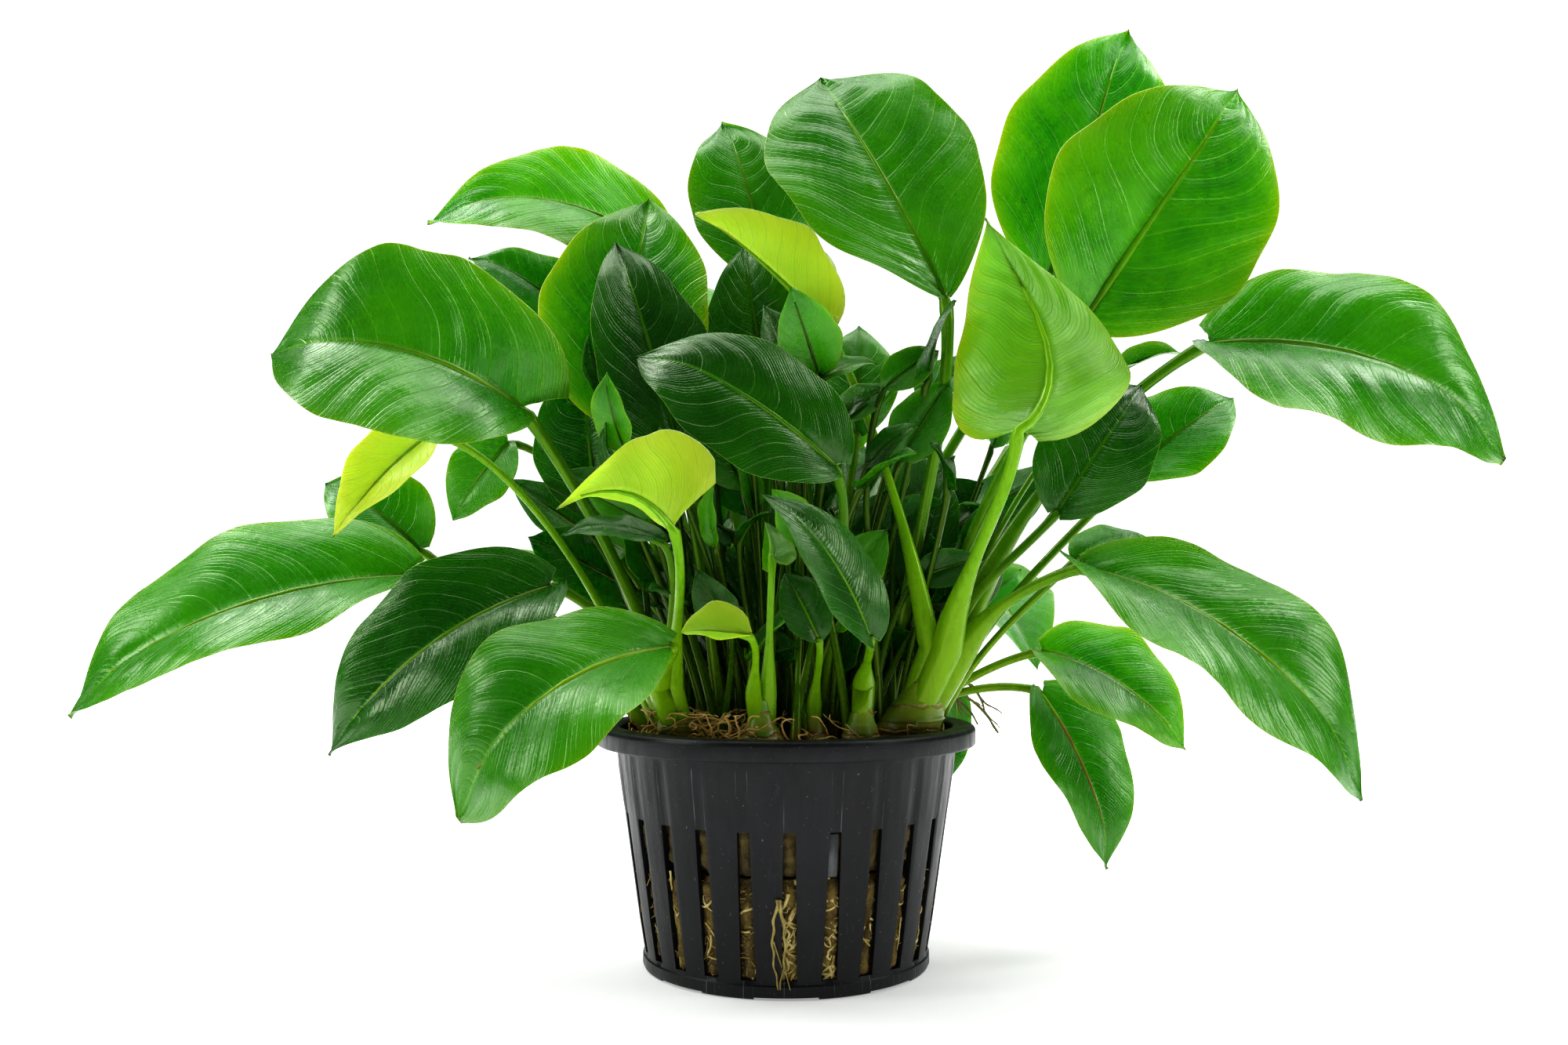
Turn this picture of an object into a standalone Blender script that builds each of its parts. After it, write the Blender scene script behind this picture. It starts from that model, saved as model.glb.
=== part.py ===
"""Potted anubias: a slotted net pot filled with stone wool, with rhizomes, roots and broad leaves.

Lengths in the constants and tables are millimetres and angles are degrees. Meshes are in metres.
+Z is up, the origin is the centre of the pot's underside, and -Y is the plant's front.
"""

import math
from collections import namedtuple

import bmesh
import bpy
from mathutils import Vector

MM = 0.001
GAP = 0.3

# Net pot
POT_HEIGHT = 56.0
RIM_RADIUS = 45.0
RIM_DROP = 4.6
WALL_TOP_RADIUS = 40.5
BASE_RADIUS = 33.0
WALL = 1.3
FLOOR = 1.6
POT_SIDES = 48
SLOTS = 24
SLOT_BOTTOM = 4.0
SLOT_TOP = 36.0
SLOT_WIDTH_BOTTOM = 3.4
SLOT_WIDTH_TOP = 2.6
SLOT_PHASE = 1.0
SLOT_CUTTER_DEPTH = 5.2
FEET = 8
FOOT_WIDTH = 12.0
FOOT_RECESS = 0.6
FOOT_CUTTER_DEPTH = 8.0
FOOT_CUTTER_INSET = 1.0
MOULDED_EDGE = 0.7

# Stone wool
WOOL_SEAM = 26.0
WOOL_TOP = 50.0
WOOL_SIDES = 24

# Leaves
BLADE_HALF_THICKNESS = 0.4
OUTLINE_BASE_POWER = 0.55
OUTLINE_TIP_POWER = 0.72
BLADE_STATIONS = (0.07, 0.22, 0.42, 0.62, 0.8, 0.93)
STALK_STATIONS = (0.0, 0.2, 0.45, 0.75)
FLANK = 0.42
STALK_RADIUS = 0.6
STALK_RADIUS_PER_WIDTH = 0.012
STALK_SIDES = 6
STALK_FLARE = 1.6
FLARE_SHARE = 0.625
RISE_REACH = 0.35
ENTRY_REACH = 0.25

# Crowns and roots
CROWN_SIDES = 8
CROWN_SWELLS = ((0.0, 1.0), (0.3, 1.06), (0.6, 0.96), (0.85, 1.0), (1.0, 0.8))
ROOT_SIDES = 5
ROOT_TAPER = 0.4
FRONT_ROOT_RADIUS = 0.6
FRONT_ROOT_POINTS = 9
FRONT_ROOT_TOP = 21.0
FRONT_ROOT_STEP = 2.1
FRONT_ROOT_ANGLE = -95.0
FRONT_ROOT_SWING = 1.6
FRONT_ROOT_STAND = 1.2
TANGLE_RADIUS = 0.7
TANGLE_POINTS = 14
TANGLE_START = 158.0
TANGLE_STEP = 4.2
TANGLE_REACH = 36.6
TANGLE_HEIGHT = 2.2
AERIAL_RADIUS = 0.6
AERIAL_ROUTE = ((33, 19, 56.5), (38, 23, 60), (43, 26, 60), (47, 28, 57), (51, 29, 53), (55, 29, 51))

COLOURS = {
    "pot": ((0.035, 0.036, 0.040), 0.45),
    "wool": ((0.20, 0.145, 0.05), 0.95),
    "rhizome": ((0.30, 0.38, 0.07), 0.5),
    "root": ((0.45, 0.36, 0.13), 0.7),
    "deep": ((0.012, 0.075, 0.018), 0.25),
    "mature": ((0.02, 0.13, 0.02), 0.28),
    "bright": ((0.07, 0.27, 0.02), 0.32),
    "young": ((0.28, 0.52, 0.05), 0.38),
}

# What a crown is called, and what a leaf grows from
RHIZOME = "rhizome_right"
LEFT = "crown_left"
FRONT_LEFT = "crown_front_left"
FRONT = "crown_front"
FRONT_RIGHT = "crown_front_right"
REAR = "crown_rear"
REAR_LEFT = "crown_rear_left"
SOIL = "wool"

Crown = namedtuple("Crown", "name foot top height foot_radius top_radius")
CROWNS = (
    Crown(RHIZOME, (25, -13), (36, -15), 74, 6.5, 5.2),
    Crown(LEFT, (-22, -20), (-27, -23), 66, 5.0, 4.2),
    Crown(FRONT_LEFT, (-5, -28), (-6, -29), 64, 4.6, 3.6),
    Crown(FRONT, (6, -25), (6, -26), 61, 3.8, 3.0),
    Crown(FRONT_RIGHT, (16, -27), (17, -28), 66, 3.8, 3.0),
    Crown(REAR, (11, 17), (12, 18), 62, 6.0, 5.2),
    Crown(REAR_LEFT, (-20, 12), (-22, 13), 62, 6.0, 5.2),
)

Leaf = namedtuple("Leaf", "name stand root joint heading rise length width facing arch cup tone")
LEAF_TABLE = (
    # Top of the plant, facing the front
    ("top_centre", SOIL, (24, 2), (37, -15, 156), 143, 59, 72, 51, (-90, 30), 4, 0.1, "mature"),
    ("top_right_rear", REAR, (14, 20), (69, 22, 171), 18, 71, 73, 47, (-90, 10), 4, 0.1, "bright"),
    ("top_right", SOIL, (28, 8), (72, -5, 153), 8, 55, 72, 54, (-90, 12), 4, 0.15, "bright"),
    ("top_rear", REAR, (9, 21), (-4, 28, 172), 140, 70, 48, 33, (-90, 20), 3, 0.1, "mature"),
    ("top_tip", SOIL, (2, 25), (-1, 42, 186), 110, 75, 32, 18, (-90, 15), 2, 0.1, "bright"),
    # Right side, from the top down
    ("right_upper", RHIZOME, (39, -11.5), (105, 6, 149), -14, -23, 73, 52, (-75, 26), 13, 0.0, "mature"),
    ("right_pale", RHIZOME, (36.5, -18.5), (49, -42, 121), 128, 79, 48, 46, (100, 12), 3, 0.2, "young"),
    ("right_inner", RHIZOME, (36, -14), (63, -14, 106), 25, 50, 41, 27, (-90, 25), 3, 0.1, "deep"),
    ("right_small", SOIL, (33, 3), (86, 10, 117), 10, 35, 35, 26, (-90, 35), 3, 0.1, "mature"),
    ("right_curled", SOIL, (30, -2), (82, 12, 142), 10, 20, 20, 9, (-90, 30), 2, 0.2, "mature"),
    ("right_big", RHIZOME, (40.5, -15), (66, -27, 92.5), -19, -39, 74, 43, (-65, 34), 11.5, 0.0, "mature"),
    ("right_behind", SOIL, (35, 7), (70, 0, 95), 20, 15, 22, 15, (-90, 60), 2, 0.1, "mature"),
    ("right_rear", SOIL, (24, 12), (48, 22, 83), 20, 35, 18, 13, (-90, 30), 1, 0.1, "bright"),
    ("right_low", SOIL, (29, 11), (64, 15, 72.5), -17, -33, 42, 31, (-75, 40), 6, 0.05, "mature"),
    ("right_lowest", SOIL, (24, 15), (65, 20, 62), -35, -66, 46, 29, (-60, 20), 4, 0.05, "mature"),
    ("rim_right", SOIL, (20, 27), (45, 34, 62), -110, -78, 24, 9, (-60, 10), 1, 0.1, "mature"),
    # Left side, from the top down
    ("left_top", REAR_LEFT, (-23, 16.5), (-33, 34, 179), 192, 6, 62, 36, (-90, 38), 11, 0.0, "bright"),
    ("left_top_rear", REAR_LEFT, (-25.5, 12.5), (-53, 20, 157), 180, 32, 34, 22, (-90, 40), 3, 0.1,
     "mature"),
    ("left_large", SOIL, (-24, -7), (-61, -16, 129.5), 190, 11, 57, 52, (-90, 25), 14.5, 0.0, "mature"),
    ("left_young", SOIL, (-28, -12), (-82, -15, 124), 215, -48, 33, 18, (-90, 25), 3, 0.1, "young"),
    ("left_grey", SOIL, (-28, 8), (-70, 13, 125), 185, -55, 24, 18, (-90, 20), 2, 0.0, "mature"),
    ("left_behind", SOIL, (-30, 4), (-91, 10, 98), 170, 35, 31, 25, (-90, 35), 3, 0.1, "mature"),
    ("far_left", SOIL, (-30, -4), (-89, -6, 91), 191, -22, 81, 40, (-95, 42), 11, 0.0, "mature"),
    ("left_mid", LEFT, (-30, -21), (-53, -22, 88.5), 193, -38, 60, 36, (-95, 34), 10, 0.0, "deep"),
    ("left_under", SOIL, (-26, 0), (-66, 2, 84), 195, -40, 32, 18, (-90, 45), 3, 0.0, "mature"),
    ("front_left_low", LEFT, (-28, -26), (-24, -46, 75.5), 199, -36, 54, 37, (-85, 46), 13, 0.0, "mature"),
    # Middle of the plant
    ("centre_left", REAR_LEFT, (-19.5, 13), (-43, 2, 131), 50, 76, 59, 43, (-90, 15), 3, 0.15, "bright"),
    ("centre_dark", SOIL, (-15, -9), (-24, -14, 116), 148, 70, 61, 29, (-75, 8), 3, 0.15, "deep"),
    ("centre_rear", SOIL, (-7, 4), (-5, 8, 135), 145, 80, 42, 25, (-90, 15), 3, 0.1, "deep"),
    ("centre_young", RHIZOME, (33, -16), (8, -9, 152.5), 178, 42, 39, 26, (40, 40), 1, 0.3, "young"),
    ("centre_glossy", SOIL, (8, -8), (10.5, -35, 114.5), 173, 31, 51, 31, (-90, 26), 7, 0.0, "deep"),
    ("centre_behind", REAR, (9, 15), (18, 14, 128), 80, 75, 30, 20, (-90, 15), 2, 0.1, "mature"),
    ("centre_shade", SOIL, (-14, 2), (-47, 10, 108), 140, 80, 40, 28, (-90, 10), 2, 0.1, "deep"),
    ("front_cup", LEFT, (-25, -25), (-23, -53, 100), 180, 11, 24, 27, (90, 45), 8, 0.3, "young"),
    ("front_cup_under", LEFT, (-27, -20), (-27, -32, 98), 190, 5, 22, 11, (-90, 60), 2, 0.0, "deep"),
    ("front", FRONT_RIGHT, (17, -28), (17.5, -43, 77.5), 196, 54, 38, 20, (-60, 32), 4, 0.1, "deep"),
    ("front_low", FRONT, (6, -26), (7, -34, 77), 150, 60, 17, 11, (-90, 20), 1, 0.1, "deep"),
    ("front_pale", FRONT_LEFT, (-7, -30), (-8, -44, 78), 183, 3, 14, 13, (-90, 50), 1, 0.1, "young"),
    ("front_tiny", FRONT_LEFT, (-4, -28), (-3, -38, 94), 100, 45, 12, 12, (90, 30), 1, 0.2, "bright"),
    # Rear of the plant
    ("rear_left_low", SOIL, (-25, 20), (-60, 45, 92), 140, -25, 60, 34, (120, 50), 8, 0.0, "mature"),
    ("rear_low", SOIL, (-7, 30), (-12, 62, 88), 100, -30, 55, 34, (95, 50), 8, 0.0, "deep"),
    ("rear_right_low", SOIL, (24, 22), (48, 55, 90), 55, -25, 58, 34, (60, 50), 8, 0.0, "mature"),
    ("rear_left", SOIL, (-16, 26), (-35, 50, 130), 125, 20, 55, 37, (110, 50), 6, 0.05, "bright"),
    ("rear", SOIL, (1, 30), (5, 58, 125), 85, 15, 52, 37, (90, 50), 6, 0.05, "deep"),
    ("rear_right", SOIL, (20, 8), (62, 42, 128), 40, 12, 55, 36, (60, 50), 6, 0.05, "mature"),
    ("rear_top", SOIL, (-9, 20), (-10, 45, 150), 95, 35, 45, 33, (90, 45), 5, 0.1, "bright"),
)
LEAVES = tuple(Leaf(*row) for row in LEAF_TABLE)


def clear_scene():
    for old in list(bpy.data.objects):
        bpy.data.objects.remove(old, do_unlink=True)


def new_collection(name):
    collection = bpy.data.collections.new(name)
    bpy.context.scene.collection.children.link(collection)
    return collection


def material(name):
    found = bpy.data.materials.get(name)
    if found:
        return found
    colour, roughness = COLOURS[name]
    made = bpy.data.materials.new(name)
    made.use_nodes = True
    shader = made.node_tree.nodes["Principled BSDF"]
    shader.inputs["Base Color"].default_value = (*colour, 1.0)
    shader.inputs["Roughness"].default_value = roughness
    shader.inputs["Metallic"].default_value = 0.0
    return made


def add_mesh(name, form, collection, finish):
    """Turns a bmesh into an object, with its faces pointing out."""
    bmesh.ops.recalc_face_normals(form, faces=form.faces)
    mesh = bpy.data.meshes.new(name)
    form.to_mesh(mesh)
    form.free()
    piece = bpy.data.objects.new(name, mesh)
    collection.objects.link(piece)
    if finish:
        mesh.materials.append(material(finish))
    return piece


def direction(heading, rise):
    """Unit vector for a compass heading seen from above and a rise over the level."""
    level = math.cos(math.radians(rise))
    return Vector((
        level * math.cos(math.radians(heading)),
        level * math.sin(math.radians(heading)),
        math.sin(math.radians(rise)),
    ))


# Pot


def wall_radius(z):
    """Outer radius of the pot's wall at a height."""
    share = z / (POT_HEIGHT - RIM_DROP)
    return BASE_RADIUS + (WALL_TOP_RADIUS - BASE_RADIUS) * share


def on_wall(radius, across, z, degrees):
    """Point at a radius and a distance sideways of a line turned about the pot's axis, in metres."""
    turned = math.radians(degrees)
    return Vector((
        radius * math.cos(turned) - across * math.sin(turned),
        radius * math.sin(turned) + across * math.cos(turned),
        z,
    )) * MM


def pot_profile():
    """Inner floor outwards, up the inside, over the rim and down the outside to the axis."""
    under_rim = POT_HEIGHT - RIM_DROP
    edge = MOULDED_EDGE
    return (
        (0.0, FLOOR),
        (wall_radius(FLOOR) - WALL, FLOOR),
        (WALL_TOP_RADIUS - WALL, under_rim),
        (WALL_TOP_RADIUS - WALL, POT_HEIGHT - edge),
        (WALL_TOP_RADIUS - WALL + edge, POT_HEIGHT),
        (RIM_RADIUS - edge, POT_HEIGHT),
        (RIM_RADIUS, POT_HEIGHT - edge),
        (RIM_RADIUS, under_rim + edge),
        (RIM_RADIUS - edge, under_rim),
        (WALL_TOP_RADIUS, under_rim),
        (wall_radius(SLOT_BOTTOM - 1), SLOT_BOTTOM - 1),
        (BASE_RADIUS + edge, SLOT_BOTTOM - 1 - edge),
        (BASE_RADIUS + edge, edge),
        (BASE_RADIUS, 0.0),
        (0.0, 0.0),
    )


def slot_cutter(form, angle):
    """One slanted slot cutter, wider at its foot, standing through the wall at an angle."""
    corners = bmesh.ops.create_cube(form, size=1.0)["verts"]
    for vert in corners:
        high = vert.co.z > 0
        z = SLOT_TOP if high else SLOT_BOTTOM
        width = SLOT_WIDTH_TOP if high else SLOT_WIDTH_BOTTOM
        radius = wall_radius(z) - 0.5 * WALL + vert.co.x * SLOT_CUTTER_DEPTH
        vert.co = on_wall(radius, vert.co.y * width, z, angle)


def foot_cutter(form, angle):
    """A shallow block that lifts the base edge between two feet."""
    pitch = 2 * math.pi * BASE_RADIUS / FEET
    corners = bmesh.ops.create_cube(form, size=1.0)["verts"]
    for vert in corners:
        radius = BASE_RADIUS - FOOT_CUTTER_INSET + vert.co.x * FOOT_CUTTER_DEPTH
        z = FOOT_RECESS if vert.co.z > 0 else -FOOT_RECESS
        vert.co = on_wall(radius, vert.co.y * (pitch - FOOT_WIDTH), z, angle)


def cut(piece, form, name, cutters):
    cutter = add_mesh(name, form, cutters, None)
    cutter.hide_render = True
    cutter.display_type = "WIRE"
    boolean = piece.modifiers.new(name, "BOOLEAN")
    boolean.operation = "DIFFERENCE"
    boolean.object = cutter


def make_pot(collection, cutters):
    form = bmesh.new()
    points = [form.verts.new((x * MM, 0, z * MM)) for x, z in pot_profile()]
    for a, b in zip(points, points[1:]):
        form.edges.new((a, b))
    mesh = bpy.data.meshes.new("net_pot")
    form.to_mesh(mesh)
    form.free()
    pot = bpy.data.objects.new("net_pot", mesh)
    collection.objects.link(pot)
    mesh.materials.append(material("pot"))
    turn = pot.modifiers.new("turn", "SCREW")
    turn.steps = POT_SIDES
    turn.render_steps = POT_SIDES
    turn.use_merge_vertices = True
    turn.merge_threshold = 0.00001
    slots = bmesh.new()
    for index in range(SLOTS):
        slot_cutter(slots, SLOT_PHASE + index * 360 / SLOTS)
    cut(pot, slots, "slots", cutters)
    recesses = bmesh.new()
    for index in range(FEET):
        foot_cutter(recesses, index * 360 / FEET)
    cut(pot, recesses, "foot_recesses", cutters)


def make_wool(name, bottom, top, collection):
    """A tapered plug of wool that fills the pot between two heights."""
    clear = WALL + 2 * GAP
    form = bmesh.new()
    made = bmesh.ops.create_cone(
        form, cap_ends=True, segments=WOOL_SIDES, depth=(top - bottom) * MM,
        radius1=(wall_radius(bottom) - clear) * MM, radius2=(wall_radius(top) - clear) * MM,
    )
    bmesh.ops.translate(form, verts=made["verts"], vec=(0, 0, 0.5 * (bottom + top) * MM))
    add_mesh(name, form, collection, "wool")


# Lofts


def loft(name, rings, tip, collection, finish):
    """A closed body through rings of equal count, capped at the first and pointed at the tip."""
    form = bmesh.new()
    loops = [[form.verts.new(point * MM) for point in ring] for ring in rings]
    count = len(loops[0])
    for low, high in zip(loops, loops[1:]):
        for i in range(count):
            j = (i + 1) % count
            form.faces.new((low[i], low[j], high[j], high[i]))
    form.faces.new(list(reversed(loops[0])))
    if tip is None:
        form.faces.new(loops[-1])
    else:
        end = form.verts.new(tip * MM)
        for i in range(count):
            form.faces.new((loops[-1][i], loops[-1][(i + 1) % count], end))
    bmesh.ops.triangulate(form, faces=form.faces)
    return add_mesh(name, form, collection, finish)


def make_crown(crown, collection):
    """A stubby stem that stands on the wool and leans a little."""
    foot = Vector((*crown.foot, WOOL_TOP + GAP))
    top = Vector((*crown.top, crown.height))
    rings = []
    for share, swell in CROWN_SWELLS:
        centre = foot.lerp(top, share)
        radius = swell * (crown.foot_radius + (crown.top_radius - crown.foot_radius) * share)
        rings.append([
            centre + radius * Vector((math.cos(a), math.sin(a), 0))
            for a in (2 * math.pi * k / CROWN_SIDES for k in range(CROWN_SIDES))
        ])
    loft(crown.name, rings, None, collection, "rhizome")


# Leaves


def outline(share):
    """Half-width of a blade, from 0 at its joint to 1 at its widest and 0 at its tip."""
    widest = OUTLINE_BASE_POWER / (OUTLINE_BASE_POWER + OUTLINE_TIP_POWER)
    rising = (share / widest) ** OUTLINE_BASE_POWER
    falling = ((1 - share) / (1 - widest)) ** OUTLINE_TIP_POWER
    return rising * falling


def blade_axes(leaf):
    """Midrib direction, upper-face normal and sideways direction of a blade."""
    along = direction(leaf.heading, leaf.rise)
    faced = direction(*leaf.facing)
    normal = (faced - along * faced.dot(along)).normalized()
    return along, normal, along.cross(normal)


def midrib(leaf, share):
    along, normal, _ = blade_axes(leaf)
    bow = 4 * leaf.arch * share * (1 - share)
    return Vector(leaf.joint) + along * leaf.length * share + normal * bow


def blade_ring(leaf, share):
    _, normal, side = blade_axes(leaf)
    centre = midrib(leaf, share)
    half = 0.5 * leaf.width * outline(share)
    edge = side * half + normal * half * leaf.cup
    other = -side * half + normal * half * leaf.cup
    flank = side * half * FLANK
    thick = normal * BLADE_HALF_THICKNESS
    return [
        centre + edge, centre + flank + thick, centre - flank + thick,
        centre + other, centre - flank - thick, centre + flank - thick,
    ]


def stalk_radius(leaf, share):
    slim = STALK_RADIUS + STALK_RADIUS_PER_WIDTH * leaf.width
    return slim * (STALK_FLARE - (STALK_FLARE - 1) * min(1.0, share / FLARE_SHARE))


def stand_height(leaf):
    for crown in CROWNS:
        if crown.name == leaf.stand:
            return crown.height + GAP
    return WOOL_TOP + GAP


def stalk_point(leaf, share):
    """Cubic curve from the root, rising at first, to the blade's joint."""
    along, normal, _ = blade_axes(leaf)
    root = Vector((*leaf.root, stand_height(leaf)))
    joint = Vector(leaf.joint)
    reach = (joint - root).length
    entry = (along * leaf.length + normal * 4 * leaf.arch).normalized()
    entry = (entry + (joint - root).normalized()).normalized()
    rising = ((joint - root).normalized() + Vector((0, 0, 1))).normalized()
    first = root + rising * reach * RISE_REACH
    second = joint - entry * reach * ENTRY_REACH
    keep = 1 - share
    return (
        root * keep ** 3 + first * 3 * keep ** 2 * share
        + second * 3 * keep * share ** 2 + joint * share ** 3
    )


def stalk_rings(leaf):
    """Six-sided rings from the root to the joint, carried back from the blade without twist."""
    _, normal, side = blade_axes(leaf)
    step = 0.02
    rings = []
    last = (midrib(leaf, step) - midrib(leaf, 0)).normalized()
    for share in (1.0, *reversed(STALK_STATIONS)):
        before = stalk_point(leaf, max(0.0, share - step))
        after = stalk_point(leaf, min(1.0, share + step))
        tangent = (after - before).normalized()
        turn = last.rotation_difference(tangent)
        side = turn @ side
        normal = turn @ normal
        last = tangent
        radius = stalk_radius(leaf, share)
        centre = stalk_point(leaf, share)
        ring = [
            centre + radius * (side * math.cos(a) + normal * math.sin(a))
            for a in (2 * math.pi * k / STALK_SIDES for k in range(STALK_SIDES))
        ]
        if share == 0.0:
            ring = [Vector((point.x, point.y, centre.z)) for point in ring]
        rings.append(ring)
    return list(reversed(rings))


def make_leaf(leaf, collection):
    rings = stalk_rings(leaf) + [blade_ring(leaf, share) for share in BLADE_STATIONS]
    loft("leaf_" + leaf.name, rings, midrib(leaf, 1.0), collection, leaf.tone)


# Roots


def make_root(name, points, radius, collection):
    """A thin root through points, tapering a little towards its end."""
    rings = []
    side = (points[1] - points[0]).orthogonal()
    for index, point in enumerate(points):
        before = points[max(0, index - 1)]
        after = points[min(len(points) - 1, index + 1)]
        tangent = (after - before).normalized()
        side = (side - tangent * side.dot(tangent)).normalized()
        other = tangent.cross(side)
        slim = radius * (1 - ROOT_TAPER * index / (len(points) - 1))
        rings.append([
            point + slim * (side * math.cos(a) + other * math.sin(a))
            for a in (2 * math.pi * k / ROOT_SIDES for k in range(ROOT_SIDES))
        ])
    loft(name, rings, None, collection, "root")


def around(radius, degrees, z):
    angle = math.radians(degrees)
    return Vector((radius * math.cos(angle), radius * math.sin(angle), z))


def front_root_points():
    """Down the outside of a bar at the front, swinging gently from side to side."""
    points = []
    for index in range(FRONT_ROOT_POINTS):
        z = FRONT_ROOT_TOP - FRONT_ROOT_STEP * index
        degrees = FRONT_ROOT_ANGLE + FRONT_ROOT_SWING * math.sin(index * 0.9)
        points.append(around(wall_radius(z) + FRONT_ROOT_STAND, degrees, z))
    return points


def tangle_points():
    """A root that wanders round the wool just inside the rim at the left."""
    points = []
    for index in range(TANGLE_POINTS):
        radius = TANGLE_REACH + 0.5 * math.sin(index * 1.7)
        z = WOOL_TOP + TANGLE_HEIGHT + 1.1 * math.cos(index * 1.3)
        points.append(around(radius, TANGLE_START + TANGLE_STEP * index, z))
    return points


def aerial_points():
    """A root that leaves the plant at the right, over the rim, and hangs outside it."""
    return [Vector(point) for point in AERIAL_ROUTE]


def main():
    clear_scene()
    parts = new_collection("potted_anubias")
    cutters = new_collection("cutters")
    make_pot(parts, cutters)
    make_wool("stone_wool_lower", FLOOR + GAP, WOOL_SEAM - GAP, parts)
    make_wool("stone_wool_upper", WOOL_SEAM + GAP, WOOL_TOP, parts)
    for crown in CROWNS:
        make_crown(crown, parts)
    make_root("root_front", front_root_points(), FRONT_ROOT_RADIUS, parts)
    make_root("root_tangle_left", tangle_points(), TANGLE_RADIUS, parts)
    make_root("root_aerial_right", aerial_points(), AERIAL_RADIUS, parts)
    for leaf in LEAVES:
        make_leaf(leaf, parts)


main()
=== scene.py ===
"""Looks of the potted anubias: leaves, rhizomes, roots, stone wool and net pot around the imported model.

Lengths in the tables are millimetres and angles are degrees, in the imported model's own frame:
+Z up, the origin under the pot's centre, -Y the plant's front. Meshes are in metres.
"""

import random
from collections import namedtuple
from math import atan2, copysign, cos, degrees, exp, hypot, pi, radians, sin, tau

import bmesh
import bpy
from mathutils import Matrix, Vector, noise


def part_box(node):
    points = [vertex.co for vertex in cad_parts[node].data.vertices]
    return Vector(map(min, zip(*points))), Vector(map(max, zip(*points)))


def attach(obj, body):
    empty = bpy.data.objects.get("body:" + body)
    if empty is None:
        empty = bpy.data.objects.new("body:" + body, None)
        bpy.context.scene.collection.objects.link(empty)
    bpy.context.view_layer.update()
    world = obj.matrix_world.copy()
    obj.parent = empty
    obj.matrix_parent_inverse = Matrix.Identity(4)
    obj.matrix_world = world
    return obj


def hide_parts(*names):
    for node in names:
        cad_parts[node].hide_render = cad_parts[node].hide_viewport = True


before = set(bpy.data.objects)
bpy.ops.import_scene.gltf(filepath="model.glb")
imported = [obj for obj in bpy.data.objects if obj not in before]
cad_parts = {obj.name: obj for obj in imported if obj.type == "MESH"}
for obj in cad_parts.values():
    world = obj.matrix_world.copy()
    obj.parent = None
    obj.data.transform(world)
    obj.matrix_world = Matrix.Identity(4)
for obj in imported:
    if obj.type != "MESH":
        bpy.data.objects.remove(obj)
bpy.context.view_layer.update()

MM = 0.001
SEED = 7
SHOOTS = 150
SHOOT_TONES = ("deep", "deep", "deep", "mature", "mature", "bright")

# Strength of the world on the plant and as the camera sees it, and of the floor's painted glow at the
# pot, where it is weakest
AMBIENT = 0.08
BACKDROP = 1.05
FLOOR_GLOW = 0.30

# Camera, and lights: name, place, height aimed at over the origin, size, all in metres, and power
CAMERA_PLACE = (-0.0005, -0.33, 0.085)
CAMERA_TILT = 93.3
SENSOR_MM = 36.0
LENS_MM = 31.4
LIGHTS = (
    ("top", (0, 0.14, 1.15), 0.12, (1.5, 0.55), 10),
    ("high_left", (-0.72, 0.22, 1.1), 0.12, (0.5, 0.45), 5.5),
    ("high_right", (0.86, 0.22, 1.1), 0.12, (0.5, 0.45), 5),
    ("left", (-1, -0.25, 0.6), 0.12, (0.35, 0.5), 4.5),
    ("right", (1, -0.25, 0.5), 0.12, (0.3, 0.5), 3.5),
    ("rear", (0.05, 0.74, 0.85), 0.15, (1.3, 0.6), 3.5),
)

# --- the plant's plan ---

# What a crown is called, and what a leaf grows from
RHIZOME = "rhizome_right"
LEFT = "crown_left"
FRONT_LEFT = "crown_front_left"
FRONT = "crown_front"
FRONT_RIGHT = "crown_front_right"
REAR = "crown_rear"
REAR_LEFT = "crown_rear_left"
SOIL = "wool"

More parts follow.
